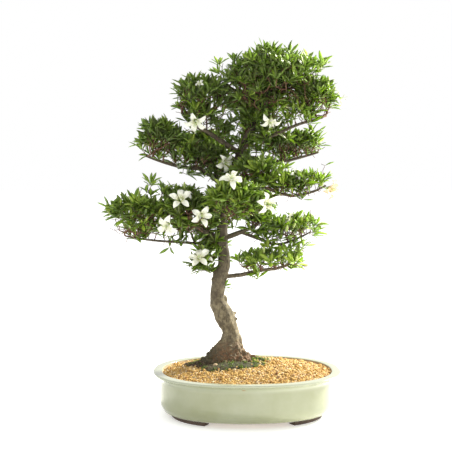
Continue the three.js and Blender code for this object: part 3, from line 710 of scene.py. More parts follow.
def built(name: str, shape: bmesh.types.BMesh, *finishes: Material) -> Thing:
    """Makes an object of a shape that is ready.

    Args:
        name: the object's name.
        shape: the shape, which is used up.
        finishes: its finishes.

    Returns:
        The object, linked to the scene and riding on the body.
    """
    mesh = bpy.data.meshes.new(name)
    shape.to_mesh(mesh)
    shape.free()
    for finish in finishes:
        mesh.materials.append(finish)
    return linked(bpy.data.objects.new(name, mesh))


def node_points(node: Thing) -> Points:
    """Gives the points of a mesh object.

    Args:
        node: the object.

    Returns:
        Its points, n by 3.
    """
    points = np.empty(len(node.data.vertices) * 3, dtype=np.float32)
    node.data.vertices.foreach_get("co", points)
    return points.reshape(-1, 3).astype(float)


def unit(vectors: Points) -> Points:
    """Gives vectors at length one."""
    size = np.linalg.norm(vectors, axis=-1, keepdims=True)
    return vectors / np.maximum(size, TINY)


def turn_facing(side: Points, axis: Points) -> Points:
    """Gives the matrix whose third column is an axis and whose first is a side of it."""
    return np.stack([side, np.cross(axis, side), axis], axis=-1)


def axes_from(forward: Points, up: Points) -> Points:
    """Gives matrices whose columns are side, forward and normal.

    Args:
        forward: the second axis of each.
        up: which way the third axis leans.

    Returns:
        The matrices, n by 3 by 3.
    """
    forward = unit(forward)
    side = unit(np.cross(forward, up))
    normal = np.cross(side, forward)
    return np.stack([side, forward, normal], axis=-1)


def tube(soup: Soup, route: Points, radii: Points, sides: int) -> None:
    """Adds a closed tube along a route.

    Args:
        soup: what it is added to.
        route: the points of its middle line.
        radii: its radius at each.
        sides: how many sides it has.
    """
    ahead = unit(np.gradient(route, axis=0))
    across = np.cross(ahead[0], (0.31, 0.17, 0.93))
    rings = []
    for direction, centre, radius in zip(ahead, route, radii):
        across = unit(across - direction * float(np.dot(across, direction)))
        other = np.cross(direction, across)
        angles = np.arange(sides) * (2 * math.pi / sides)
        ring = np.cos(angles)[:, None] * across + np.sin(angles)[:, None] * other
        rings.append(centre + ring * radius)
    points = np.concatenate([*rings, route[:1], route[-1:]])
    count = len(route)
    faces = []
    places = []
    for i in range(count - 1):
        low, high = (i % TILES) / TILES, (i % TILES + 1) / TILES
        for s in range(sides):
            t = (s + 1) % sides
            a, b, c, d = i * sides + s, i * sides + t, (i + 1) * sides + t, (i + 1) * sides + s
            left, right = s / sides, (s + 1) / sides
            faces += [(a, b, c), (a, c, d)]
            places.append(((left, low), (right, low), (right, high)))
            places.append(((left, low), (right, high), (left, high)))
    first, last = count * sides, count * sides + 1
    top = (count - 1) * sides
    for s in range(sides):
        t = (s + 1) % sides
        faces += [(first, t, s), (last, top + s, top + t)]
        places += [((0.5, 0.5), (0.6, 0.5), (0.5, 0.6))] * 2
    soup.add(points, np.array(faces), np.array(places))


def ball(subdivisions: int) -> tuple[Points, Points]:
    """Builds a round ball of radius one.

    Args:
        subdivisions: how fine it is.

    Returns:
        Its points and triangles.
    """
    shape = bmesh.new()
    bmesh.ops.create_icosphere(shape, subdivisions=subdivisions, radius=1.0)
    points = np.array([v.co[:] for v in shape.verts])
    faces = np.array([[v.index for v in f.verts] for f in shape.faces])
    shape.free()
    return points, faces


def flat_places(points: Points, faces: Points) -> Points:
    """Lays a shape's corners on the map as seen from above, inside one tile.

    Args:
        points: the shape's points.
        faces: its triangles.

    Returns:
        The map place of each corner.
    """
    low, high = points.min(0), points.max(0)
    share = (points - low) / np.maximum(high - low, TINY)
    spots = np.stack([share[:, 0], share[:, 2] * 0.6 + share[:, 1] * 0.4], axis=-1)
    return (spots[faces] * 0.84 + 0.08) / TILES


def tile_shift(columns: Points, rows: Points) -> Points:
    """Gives the map shifts that put pieces on tiles."""
    return np.stack([columns, rows], axis=-1) / TILES


def tree_of(thing: Thing) -> BVHTree:
    """Gives a tree for casting rays at a mesh object."""
    points = [v.co.copy() for v in thing.data.vertices]
    return BVHTree.FromPolygons(points, [tuple(f.vertices) for f in thing.data.polygons])


def surface_points(node: Thing, count: int, rng: Draws) -> tuple[Points, Points]:
    """Picks points spread evenly over a mesh object.

    Args:
        node: the object.
        count: how many points.
        rng: the draws.

    Returns:
        The points and the surface's normal at each.
    """
    points = node_points(node)
    node.data.calc_loop_triangles()
    corners = np.array([t.vertices[:] for t in node.data.loop_triangles])
    a, b, c = points[corners[:, 0]], points[corners[:, 1]], points[corners[:, 2]]
    normals = np.cross(b - a, c - a)
    areas = np.linalg.norm(normals, axis=1)
    chosen = rng.choice(len(corners), count, p=areas / areas.sum())
    r, s = rng.random(count), rng.random(count)
    over = r + s > 1
    r[over], s[over] = 1 - r[over], 1 - s[over]
    spots = a[chosen] + (b - a)[chosen] * r[:, None] + (c - a)[chosen] * s[:, None]
    return spots, unit(normals[chosen])


def joined_mesh(nodes: list[Thing], swell: float) -> bmesh.types.BMesh:
    """Joins copies of the frame's solids, each grown a little so that they meet.

    Args:
        nodes: the solids.
        swell: how far each surface moves out.

    Returns:
        The joined mesh.
    """
    joined = bmesh.new()
    for node in nodes:
        part = bmesh.new()
        part.from_mesh(node.data)
        bmesh.ops.remove_doubles(part, verts=part.verts, dist=1e-6)
        bmesh.ops.recalc_face_normals(part, faces=part.faces)
        part.normal_update()
        for vert in part.verts:
            vert.co += vert.normal * swell
        mesh = bpy.data.meshes.new("part")
        part.to_mesh(mesh)
        part.free()
        joined.from_mesh(mesh)
        bpy.data.meshes.remove(mesh)
    return joined


def apply_modifiers(thing: Thing) -> None:
    """Bakes an object's modifiers into its mesh.

    Args:
        thing: the object.
    """
    graph = bpy.context.evaluated_depsgraph_get()
    mesh = bpy.data.meshes.new_from_object(thing.evaluated_get(graph), depsgraph=graph)
    thing.modifiers.clear()
    thing.data = mesh


def remesh(thing: Thing, size: float) -> None:
    """Rebuilds an object's mesh in even cells.

    Args:
        thing: the object.
        size: the cells' size.
    """
    cells = thing.modifiers.new("cells", "REMESH")
    cells.mode = "VOXEL"
    cells.voxel_size = size
    cells.use_smooth_shade = True
    apply_modifiers(thing)


def relax(thing: Thing, rounds: int) -> None:
    """Smooths a mesh without shrinking its thin parts.

    Args:
        thing: the object.
        rounds: how many rounds of smoothing and pushing back.
    """
    points = node_points(thing)
    ends = np.empty(len(thing.data.edges) * 2, dtype=np.int32)
    thing.data.edges.foreach_get("vertices", ends)
    first, second = ends.reshape(-1, 2).T
    degree = np.bincount(ends, minlength=len(points))[:, None]
    for _ in range(rounds):
        for share in (0.6, -0.62):
            total = np.zeros_like(points)
            for k in range(3):
                total[:, k] = np.bincount(first, points[second, k], len(points))
                total[:, k] += np.bincount(second, points[first, k], len(points))
            points = points + share * (total / degree - points)
    thing.data.vertices.foreach_set("co", points.astype(np.float32).ravel())
    thing.data.update()


def roughen(thing: Thing, layers: list[tuple[float, float]]) -> None:
    """Moves a mesh's surface in and out by noise.

    Args:
        thing: the object.
        layers: the height and fineness of each layer.
    """
    for vert in thing.data.vertices:
        lift = sum(height * noise.noise(vert.co * fineness) for height, fineness in layers)
        vert.co += vert.normal * lift
    thing.data.update()


def shaped_copy(name: str, node: Thing, cell: float, material: Material) -> Thing:
    """Copies a solid of the frame into an evenly meshed piece that stands for it.

    Args:
        name: the new piece's name.
        node: the solid.
        cell: its cells' size.
        material: its finish.

    Returns:
        The piece.
    """
    piece = built(name, joined_mesh([node], 0.0))
    remesh(piece, cell)
    relax(piece, 3)
    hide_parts(node.name)
    piece.data.materials.append(material)
    return piece


# The pot


@dataclass
class Pot:
    """The oval pot: a flat rim over a cove, a tucked-in wall, a bead and four feet."""

    squareness: float = 2.25
    rim_width: float = 16 * MM
    lip_height: float = 4 * MM
    overhang: float = 11 * MM
    edge: float = 1.2 * MM
    neck_height: float = 12 * MM
    cove: float = 2.2
    inner_setback: float = 2.4 * MM
    tuck_height: float = 27 * MM
    tuck_depth: float = 19 * MM
    bead_level: float = 4.6 * MM
    bead_size: float = 1.1 * MM
    wall: float = 5 * MM
    floor_thickness: float = 7 * MM
    foot_setback: float = 1.5 * MM
    foot_width: float = 15 * MM
    foot_start: float = math.radians(8)
    foot_end: float = math.radians(58)
    foot_edge: float = 1.0 * MM
    sides: int = 176
    drain_radius: float = 11 * MM
    drain_depth: float = 50 * MM
    tuck_power: float = 2.4
    inner_rim: float = 4 * MM
    sharp: float = math.radians(38)
    chip_bearing: float = math.radians(-93)
    chip_below_lip: float = 5.5 * MM

    def __post_init__(self) -> None:
        """Takes the pot's place and size from the frame."""
        low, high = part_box("pot_body")
        self.middle = (low + high) / 2
        self.half_length = (high.x - low.x) / 2
        self.half_depth = (high.y - low.y) / 2
        self.base = low.z
        self.top = high.z
        self.lip = self.top - self.lip_height
        self.neck = self.lip - self.neck_height

    def oval(self, inset: float, angles: Points) -> Points:
        """Gives points of the pot's outline.

        Args:
            inset: how far in from the rim's edge.
            angles: the bearings of the points.

        Returns:
            The points, n by 2.
        """
        power = 2 / self.squareness
        across = np.sign(np.cos(angles)) * np.abs(np.cos(angles)) ** power
        back = np.sign(np.sin(angles)) * np.abs(np.sin(angles)) ** power
        x = self.middle.x + (self.half_length - inset) * across
        y = self.middle.y + (self.half_depth - inset) * back
        return np.stack([x, y], axis=-1)

    def tuck(self, level: float) -> float:
        """Gives how far in the outside of the wall is at a level."""
        share = min(1.0, max(0.0, (self.base + self.tuck_height - level) / self.tuck_height))
        return self.overhang + self.tuck_depth * (1 - math.sqrt(1 - share**self.tuck_power * 0.999))

    def cove_inset(self, share: float) -> float:
        """Gives how far in the cove is, a share of the way up it."""
        return self.overhang - (self.overhang - self.edge) * share**self.cove

    def outside(self) -> list[tuple[float, float]]:
        """Gives the glazed part of the section, from the base over the rim.

        Returns:
            The inset and level of each point.
        """
        bead = self.base + self.bead_level
        points = []
        for level in np.linspace(self.base, self.base + self.tuck_height, 24):
            swell = math.exp(-(((level - bead) / self.bead_size) ** 2))
            points.append((self.tuck(level) - self.bead_size * swell, level))
        for level in np.linspace(self.base + self.tuck_height, self.neck, 4)[1:]:
            points.append((self.overhang, level))
        for share in np.linspace(0, 1, 13)[1:-1]:
            points.append((self.cove_inset(share), self.neck + self.neck_height * share))
        turns = np.radians(np.linspace(0, 90, 5))
        low = self.lip + self.edge
        high = self.top - self.edge
        points += [(self.edge * (1 - math.sin(t)), low - self.edge * math.cos(t)) for t in turns]
        points += [(self.edge * (1 - math.cos(t)), high + self.edge * math.sin(t)) for t in turns]
        inner = self.rim_width - self.edge
        points += [(inner + self.edge * math.sin(t), high + self.edge * math.cos(t)) for t in turns]
        return points

    def inside(self) -> list[tuple[float, float]]:
        """Gives the bare part of the section, from the rim down to the floor.

        Returns:
            The inset and level of each point.
        """
        gap = self.wall + self.inner_setback
        points = [(self.rim_width, self.top - self.inner_rim), (self.overhang + gap, self.lip - MM)]
        floor = self.base + self.floor_thickness
        for level in np.linspace(self.base + self.tuck_height, floor, 8):
            points.append((self.tuck(level) + gap, level))
        return points

    def build(self, glaze: Material, bare: Material) -> Thing:
        """Builds the pot.

        Args:
            glaze: the finish outside and over the rim.
            bare: the finish inside and underneath.

        Returns:
            The pot.
        """
        outside = self.outside()
        section = outside + self.inside()
        angles = np.arange(self.sides) * (2 * math.pi / self.sides)
        shape = bmesh.new()
        rings = []
        for inset, level in section:
            rings.append([shape.verts.new((x, y, level)) for x, y in self.oval(inset, angles)])
        for row, (low, high) in enumerate(zip(rings, rings[1:])):
            for s in range(self.sides):
                t = (s + 1) % self.sides
                face = shape.faces.new((low[s], low[t], high[t], high[s]))
                face.material_index = 0 if row < len(outside) - 1 else 1
        for cap in (list(reversed(rings[0])), rings[-1]):
            shape.faces.new(cap).material_index = 1
        pot = built("pot", shape, glaze, bare)
        self.cut_drains(pot)
        pot.data.polygons.foreach_set("use_smooth", np.full(len(pot.data.polygons), True))
        pot.data.set_sharp_from_angle(angle=self.sharp)
        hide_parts("pot_body")
        return pot

    def chip_place(self) -> Vector:
        """Gives the spot under the lip where the glaze missed.

        Returns:
            The spot.
        """
        level = self.lip - self.chip_below_lip
        inset = self.cove_inset((level - self.neck) / self.neck_height)
        spot = self.oval(inset, np.array([self.chip_bearing]))[0]
        return Vector((spot[0], spot[1], level))

    def cut_drains(self, pot: Thing) -> None:
        """Cuts the drain holes that the frame's clips stand in.

        Args:
            pot: the pot without its holes.
        """
        for side in ("left", "right"):
            low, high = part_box(f"drain_screen_{side}")
            bpy.ops.mesh.primitive_cylinder_add(
                vertices=48, radius=self.drain_radius, depth=self.drain_depth
            )
            cutter = bpy.context.object
            cutter.location = ((low.x + high.x) / 2, self.middle.y, self.base)
            cut = pot.modifiers.new("drain", "BOOLEAN")
            cut.operation = "DIFFERENCE"
            cut.solver = "EXACT"
            cut.object = cutter
            apply_modifiers(pot)
            bpy.data.objects.remove(cutter)

    def feet(self, clay: Material) -> list[Thing]:
        """Builds the four strip feet.

        Args:
            clay: their finish.

        Returns:
            The feet.
        """
        made = []
        for back, row in ((-1, "front"), (1, "back")):
            for right, column in ((-1, "left"), (1, "right")):
                made.append(self.foot(right, back, f"{row}_{column}", clay))
        return made

    def foot(self, right: int, back: int, name: str, clay: Material) -> Thing:
        """Builds one strip foot.

        Args:
            right: 1 for the right side, -1 for the left.
            back: 1 for the back, -1 for the front.
            name: which foot it is.
            clay: its finish.

        Returns:
            The foot.
        """
        outer = self.overhang + self.tuck_depth + self.foot_setback
        edge = self.foot_edge
        width = self.foot_width
        ring = [(edge, 0), (width - edge, 0), (width, edge)]
        ring += [(width, self.base), (0, self.base), (0, edge)]
        middle = np.array([self.middle.x, self.middle.y])
        flip = np.array([right, back])
        shape = bmesh.new()
        rows = []
        for turn in np.linspace(self.foot_start, self.foot_end, 28):
            row = []
            for inset, level in ring:
                flat = middle + (self.oval(outer + inset, np.array([turn]))[0] - middle) * flip
                row.append(shape.verts.new((flat[0], flat[1], level)))
            rows.append(row)
        for a, b in zip(rows, rows[1:]):
            for s in range(len(ring)):
                t = (s + 1) % len(ring)
                shape.faces.new((a[s], a[t], b[t], b[s]))
        shape.faces.new(rows[0])
        shape.faces.new(list(reversed(rows[-1])))
        bmesh.ops.recalc_face_normals(shape, faces=shape.faces)
        foot = built(f"foot_{name}", shape, clay)
        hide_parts(f"pot_foot_{name}")
        return foot


def dress(nodes: dict[str, Thing], start: str, material: Material) -> list[str]:
    """Gives the frame's own pieces a finish.

    Args:
        nodes: the frame's nodes.
        start: what the names of the pieces start with.
        material: their finish.

    Returns:
        The names of the pieces.
    """
    names = sorted(name for name in nodes if name.startswith(start))
    for name in names:
        nodes[name].data.materials.clear()
        nodes[name].data.materials.append(material)
    return names


# The bed


@dataclass
class Bed:
    """Golden gravel over the soil, with dark moss and a pale stone at the foot of the trunk."""

    nodes: dict[str, Thing]
    grain_gap: float = 3.3 * MM
    grain_small: float = 1.35 * MM
    grain_large: float = 2.5 * MM
    loose_grains: int = 520
    piece_grains: int = 3200
    crumbs: int = 5200
    mulch_half: tuple[float, float] = (56 * MM, 44 * MM)
    mulch_shift: tuple[float, float] = (-2 * MM, -14 * MM)
    neck_above: float = 32 * MM
    neck_points: int = 24
    soil_cell: float = 3.2 * MM
    cushion_cell: float = 1.6 * MM
    stone_cell: float = 0.8 * MM
    grain_kinds: int = 8
    grain_flat: float = 0.82
    loose_size: tuple[float, float] = (1.7 * MM, 2.9 * MM)
    crumb_size: tuple[float, float] = (0.9 * MM, 2.6 * MM)
    crumb_lift: tuple[float, float] = (0.4 * MM, 3.4 * MM)
    mossy_from: float = 0.16
    tufts_a_crumb: int = 3
    seed: int = 41

    def __post_init__(self) -> None:
        """Finds the middle of the trunk where it leaves the bed."""
        trunk = node_points(self.nodes["trunk"])
        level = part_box("soil_bed")[1].z
        nearest = np.argsort(np.abs(trunk[:, 2] - level - self.neck_above))
        near = trunk[nearest[: self.neck_points]]
        self.foot = np.array([*near.mean(axis=0)[:2], level])

    def surface(self, soil: Material) -> Thing:
        """Builds the soil under the grains.

        Args:
            soil: its finish.

        Returns:
            The soil.
        """
        bed = shaped_copy("soil", self.nodes["soil_bed"], self.soil_cell, soil)
        return bed

    def gravel(self, skin: Material) -> list[Thing]:
        """Strews the grains over the bed.

        Args:
            skin: their finish.

        Returns:
            The grains, in a few pieces.
        """
        rng = np.random.default_rng(self.seed)
        low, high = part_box("soil_bed")
        tree = tree_of(self.nodes["soil_bed"])
        step = self.grain_gap
        spots = []
        for row, y in enumerate(np.arange(low.y, high.y, step * 0.87)):
            for x in np.arange(low.x + (row % 2) * step / 2, high.x, step):
                spots.append((x, y))
        flat = np.array(spots) + rng.normal(0, step * 0.22, (len(spots), 2))
        sizes = rng.uniform(self.grain_small, self.grain_large, len(flat))
        sizes *= rng.choice([1.0, 1.15], len(flat))
        count = self.loose_grains
        across = rng.uniform(low.x, high.x, count)
        loose = np.column_stack([across, rng.uniform(low.y, high.y, count)])
        flat = np.concatenate([flat, loose])
        sizes = np.concatenate([sizes, rng.uniform(*self.loose_size, count)])
        lifts = np.concatenate([np.full(len(spots), 0.09), np.full(count, 0.99)])
        origins = []
        kept = []
        for i, (x, y) in enumerate(flat):
            hit, normal, _, _ = tree.ray_cast(Vector((x, y, high.z + ABOVE)), DOWN)
            if hit is None or normal.z < 0.5 or self.mulched(x, y) > rng.uniform(0.0, 0.14):
                continue
            origins.append((x, y, hit.z + sizes[i] * lifts[i]))
            kept.append(i)
        origins = np.array(origins)
        sizes = sizes[kept]
        made = []
        for part, start in enumerate(range(0, len(origins), self.piece_grains)):
            span = slice(start, start + self.piece_grains)
            soup = self.strew(rng, origins[span], sizes[span])
            grains = mesh_object(f"gravel_{part + 1}", [(soup, skin)])
            made.append(grains)
        return made

    def strew(self, rng: Draws, origins: Points, sizes: Points) -> Soup:
        """Builds grains of a few broken shapes.

        Args:
            rng: the draws.
            origins: their places.
            sizes: their radii.

        Returns:
            The grains.
        """
        soup = Soup()
        points, faces = ball(1)
        for kind in range(self.grain_kinds):
            chosen = np.arange(len(origins)) % self.grain_kinds == kind
            count = int(chosen.sum())
            if count == 0:
                continue
            rough = points * rng.uniform(0.72, 1.2, (len(points), 1))
            rough = rough * rng.uniform(0.75, 1.25, (1, 3))
            shape = Soup()
            shape.add(rough, faces, flat_places(rough, faces))
            turns = axes_from(rng.normal(size=(count, 3)), rng.normal(size=(count, 3)))
            turns = turns * sizes[chosen][:, None, None]
            turns[:, 2, :] *= self.grain_flat
            pale = rng.random(count) ** 1.5
            shifts = tile_shift(rng.integers(0, TILES, count), np.floor(pale * TILES))
            soup.stamp(shape, turns, origins[chosen], shifts)
        return soup

    def mulched(self, x: float, y: float) -> float:
        """Gives how far inside the mulch a place is.

        Args:
            x: the place across.
            y: the place from front to back.

        Returns:
            0 at the mulch's edge and 1 in its middle.
        """
        across = (x - self.foot[0] - self.mulch_shift[0]) / self.mulch_half[0]
        back = (y - self.foot[1] - self.mulch_shift[1]) / self.mulch_half[1]
        wave = 0.35 * noise.noise(Vector((x * 45.0, y * 45.0, 0.4)))
        wave += 0.15 * noise.noise(Vector((x * 160.0, y * 160.0, 2.0)))
        return 1 - math.hypot(across, back) + wave

    def mulch(self, crumb: Material, blade: Material) -> list[Thing]:
        """Strews dark crumbs and moss round the foot of the trunk.

        Args:
            crumb: the crumbs' finish.
            blade: the moss's finish.

        Returns:
            The crumbs and the moss.
        """
        rng = np.random.default_rng(self.seed + 2)
        tree = tree_of(self.nodes["soil_bed"])
        spread = rng.uniform(-1.3, 1.3, (self.crumbs, 2)) * np.array(self.mulch_half)
        flat = self.foot[:2] + np.array(self.mulch_shift) + spread
        origins = []
        for x, y in flat:
            if self.mulched(x, y) < rng.uniform(-0.12, 0.05):
                continue
            hit, _, _, _ = tree.ray_cast(Vector((x, y, self.foot[2] + ABOVE)), DOWN)
            level = hit.z if hit is not None else self.foot[2] - 15 * MM
            origins.append((x, y, level + rng.uniform(*self.crumb_lift)))
        origins = np.array(origins)
        soup = self.strew(rng, origins, rng.uniform(*self.crumb_size, len(origins)))
        crumbs = mesh_object("mulch", [(soup, crumb)])
        clump = np.array([noise.noise(Vector(p) * 75.0) for p in origins])
        spots = np.repeat(origins[clump > self.mossy_from], self.tufts_a_crumb, axis=0)
        count = len(spots)
        spots = spots + rng.normal(0, 1.4 * MM, (count, 3)) * [1, 1, 0.3]
        lean = unit(rng.normal(0, 0.5, (count, 3)) + [0, 0, 1])
        around = rng.normal(size=(count, 3))
        long = rng.uniform(2.0, 4.8, count) * MM
        fresh = rng.normal(0.9, 1.3, count)
        soup = self.blades(spots, axes_from(lean, around), long, 0.8 * MM, fresh, rng)
        moss = mesh_object("moss_tufts", [(soup, blade)])
        return [crumbs, moss]

    @staticmethod
    def blades(
        spots: Points,
        turns: Points,
        long: Points,
        breadth: float,
        fresh: Points,
        rng: Draws,
    ) -> Soup:
        """Builds moss blades, each a thin three-sided spike.

        Args:
            spots: where they grow.
            turns: their axes as columns, the second being along the blade.
            long: their lengths.
            breadth: their breadth.
            fresh: how bright each is, as a row of the map.
            rng: the draws.

        Returns:
            The blades.
        """
        points = np.array([[0.5, 0, -0.3], [-0.5, 0, -0.3], [0, 0, 0.6], [0.1, 1.0, 0.15]])
        faces = np.array([[0, 2, 1], [0, 1, 3], [1, 2, 3], [2, 0, 3]])
        shape = Soup()
        shape.add(points, faces, flat_places(points, faces))
        broad = np.full(len(spots), breadth)
        turns = turns * np.stack([broad, long, broad], axis=-1)[:, None, :]
        rows = np.floor(np.clip(fresh, 0, LEAF_ROWS))
        made = Soup()
        shifts = tile_shift(rng.integers(0, TILES // 2, len(spots)), rows)
        made.stamp(shape, turns, spots, shifts)
        return made

    def moss(self, mat: Material, blade: Material) -> list[Thing]:
        """Builds the moss cushions and their bright tufts.

        Args:
            mat: the cushions' finish.
            blade: the tufts' finish.

        Returns:
            The cushions and tufts.
        """
        rng = np.random.default_rng(self.seed + 1)
        made = []
        for side in ("front", "right", "back"):
            node = self.nodes[f"moss_{side}"]
            cushion = shaped_copy(f"cushion_{side}", node, self.cushion_cell, mat)
            roughen(cushion, [(0.9 * MM, 180.0), (0.8 * MM, 420.0)])
            spots, normals = surface_points(node, 2600 if side == "front" else 1100, rng)
            up = normals[:, 2] > 0.35
            spots, normals = spots[up], normals[up]
            clump = np.array([noise.noise(Vector(p) * 90.0) for p in spots])
            keep = clump > rng.uniform(-0.1, 0.5, len(spots))
            spots, normals, clump = spots[keep], normals[keep], clump[keep]
            count = len(spots)
            lean = unit(normals + rng.normal(0, 0.55, (count, 3)))
            turns = axes_from(lean, rng.normal(size=(count, 3)))
            long = rng.uniform(2.2, 5.2, count) * (1 + np.maximum(clump, 0)) * MM
            fresh = clump * 5 + rng.normal(0.4, 1.3, count)
            soup = self.blades(spots, turns, long, 0.9 * MM, fresh, rng)
            tufts = mesh_object(f"tufts_{side}", [(soup, blade)])
            made += [cushion, tufts]
        return made

    def stone(self, skin: Material) -> Thing:
        """Builds the pale stone.

        Args:
            skin: its finish.

        Returns:
            The stone.
        """
        stone = shaped_copy("stone", self.nodes["pale_stone"], self.stone_cell, skin)
        roughen(stone, [(0.6 * MM, 130.0), (0.25 * MM, 420.0)])
        return stone


# The wood


@dataclass(frozen=True)
class Stub:
    """A healed cut or a knob on the trunk."""

    level: float
    bearing: float
    radius: float
    length: float


@dataclass
class Wood:
    """The trunk with its roots and branches, fused into one surface of bark."""

    nodes: dict[str, Thing]
    voxel: float = 1.25 * MM
    swell: float = 0.55 * MM
    gnarl: float = 7.5 * MM
    gnarl_height: float = 46 * MM
    relax_rounds: int = 22
    ridge: float = 0.045
    knot: float = 0.09
    flake: float = 0.05
    flake_most: float = 0.35 * MM
    thickest: float = 30 * MM
    stub_band: float = 26 * MM
    stub_reach: float = 200 * MM
    stub_lift: float = 0.25
    stubs: tuple[Stub, ...] = (
        Stub(0.205, 8.0, 4.2 * MM, 5 * MM),
        Stub(0.185, -12.0, 4.0 * MM, 5 * MM),
        Stub(0.26, 14.0, 8.0 * MM, 5 * MM),
        Stub(0.15, -118.0, 7.0 * MM, 3 * MM),
        Stub(0.33, -150.0, 5.0 * MM, 4 * MM),
        Stub(0.12, 75.0, 7.0 * MM, 3 * MM),
    )

    def build(self, bark: Material) -> Thing:
        """Builds the wood.

        Args:
            bark: its finish.

        Returns:
            The wood.
        """
        names = ["trunk"] + sorted(name for name in self.nodes if name.startswith("branch_"))
        joined = joined_mesh([self.nodes[name] for name in names], self.swell)
        for stub in self.stubs:
            self.add_stub(joined, stub)
        wood = built("wood", joined)
        remesh(wood, self.voxel)
        relax(wood, self.relax_rounds)
        self.weather(wood)
        wood.data.materials.append(bark)
        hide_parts(*names)
        return wood

    def add_stub(self, joined: bmesh.types.BMesh, stub: Stub) -> None:
        """Adds a rounded stub to the trunk's side.

        Args:
            joined: the joined limbs.
            stub: the stub.
        """
        low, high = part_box("trunk")
        level = low.z + (high.z - low.z) * stub.level
        trunk = node_points(self.nodes["trunk"])
        near = trunk[np.abs(trunk[:, 2] - level) < self.stub_band]
        middle = Vector((float(near[:, 0].mean()), float(near[:, 1].mean()), level))
        bearing = math.radians(stub.bearing)
        out = Vector((math.cos(bearing), math.sin(bearing), self.stub_lift)).normalized()
        start = middle + out * self.stub_reach
        hit, _, _, _ = tree_of(self.nodes["trunk"]).ray_cast(start, -out)
        if hit is None:
            return
        turn = out.to_track_quat("Z", "Y").to_matrix().to_4x4()
        scale = Matrix.Diagonal((stub.radius, stub.radius, stub.length, 1.0))
        place = Matrix.Translation(hit) @ turn @ scale
        bmesh.ops.create_icosphere(joined, subdivisions=2, radius=1.0, matrix=place)

    def weather(self, wood: Thing) -> None:
        """Gives the bark its long ridges, hollows and flakes, deeper where the wood is thicker.

        Args:
            wood: the fused wood.
        """
        tree = tree_of(wood)
        normals = np.empty(len(wood.data.vertices) * 3, dtype=np.float32)
        wood.data.vertices.foreach_get("normal", normals)
        normals = normals.reshape(-1, 3)
        points = node_points(wood)
        root_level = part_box("soil_bed")[1].z
        for i, (point, normal) in enumerate(zip(points, normals)):
            at, out = Vector(point), Vector(normal)
            _, _, _, through = tree.ray_cast(at - out * (0.4 * MM), -out)
            thick = min(self.thickest, (through or 8 * MM) / 2)
            long = Vector((point[0] * 75.0, point[1] * 75.0, point[2] * 17.0))
            ridge = noise.noise(long) + 0.5 * noise.noise(long * 2.3)
            flake = noise.noise(at * 210.0)
            lift = (ridge * self.ridge + noise.noise(at * 38.0) * self.knot) * thick
            lift += flake * min(self.flake_most, self.flake * thick)
            up = (point[2] - root_level) / self.gnarl_height
            gnarl = noise.noise(at * 95.0) + 0.6 * flake + 0.35 * noise.noise(at * 420.0)
            lift += min(1.0, max(0.0, 1 - up)) * gnarl * self.gnarl
            points[i] += normal * lift
        wood.data.vertices.foreach_set("co", points.astype(np.float32).ravel())
        wood.data.update()


# The crown


@dataclass
class Twiggery:
    """Twigs grown from the branches towards points in one foliage pad."""

    spots: list[Points]
    parents: list[int]
    leafy: list[bool]
    step: float = 8 * MM
    thrift: float = 0.28
    tip_radius: float = 0.5 * MM
    thickest: float = 2.4 * MM
    spread: float = 2.35
    downhill: float = 0.7
    bow: float = 0.07
    sag: float = 0.12
    shake: float = 0.7 * MM
    sides: int = 5

    def grow(self, goals: Points, leafy: Points, rng: Draws) -> None:
        """Joins goals to the nearest wood, one after another.

        Args:
            goals: the points to reach, n by 3.
            leafy: whether each carries leaves.
            rng: the draws.
        """
        lengths = [0.0] * len(self.spots)
        cost = np.full(len(goals), np.inf)
        source = np.zeros(len(goals), dtype=int)
        open_goals = np.ones(len(goals), dtype=bool)

        def offer(index: int) -> None:
            """Lets a new twig point offer itself to the goals not reached.

            Args:
                index: the point.
            """
            away = goals - self.spots[index]
            gap = np.linalg.norm(away, axis=1)
            drop = np.maximum(0.0, -away[:, 2]) / np.maximum(gap, 1e-6)
            new = gap * (1 + self.downhill * drop) + self.thrift * lengths[index]
            better = open_goals & (new < cost)
            cost[better] = new[better]
            source[better] = index

        for index in range(len(self.spots)):
            offer(index)
        while open_goals.any():
            chosen = int(np.argmin(np.where(open_goals, cost, np.inf)))
            open_goals[chosen] = False
            start = self.spots[source[chosen]]
            goal = goals[chosen]
            gap = float(np.linalg.norm(goal - start))
            pieces = max(1, int(round(gap / self.step)))
            last = int(source[chosen])
            bow = rng.normal(0, self.bow, 3) * gap
            bow[2] -= self.sag * gap
            fresh = []
            for piece in range(1, pieces + 1):
                share = piece / pieces
                spot = start + (goal - start) * share + bow * math.sin(math.pi * share) * 0.8
                if piece < pieces:
                    spot = spot + rng.normal(0, self.shake, 3)
                self.spots.append(spot)
                self.parents.append(last)
                self.leafy.append(piece == pieces and bool(leafy[chosen]))
                lengths.append(lengths[last] + gap / pieces)
                last = len(self.spots) - 1
                fresh.append(last)
            for index in fresh:
                offer(index)

    def radii(self) -> tuple[Points, list[list[int]]]:
        """Works out how thick the twigs are from what they carry.

        Returns:
            Each point's radius, and each point's children.
        """
        count = len(self.spots)
        children: list[list[int]] = [[] for _ in range(count)]
        area = np.zeros(count)
        for index in range(count - 1, -1, -1):
            area[index] = max(area[index], self.tip_radius**self.spread)
            parent = self.parents[index]
            if parent >= 0:
                children[parent].append(index)
                area[parent] += area[index]
        return np.minimum(area ** (1 / self.spread), self.thickest), children

    def tubes(self, soup: Soup) -> None:
        """Adds the twigs as closed tubes.

        Args:
            soup: what they are added to.
        """
        radii, children = self.radii()
        starts = [(i, c) for i, kids in enumerate(children) for c in kids if self.parents[i] < 0]
        while starts:
            parent, index = starts.pop()
            chain = [parent, index]
            while children[index]:
                kids = sorted(children[index], key=lambda k: -radii[k])
                starts += [(index, kid) for kid in kids[1:]]
                index = kids[0]
                chain.append(index)
            route = np.array([self.spots[i] for i in chain])
            thick = radii[chain]
            thick[0] = thick[1]
            tube(soup, route, thick, self.sides)


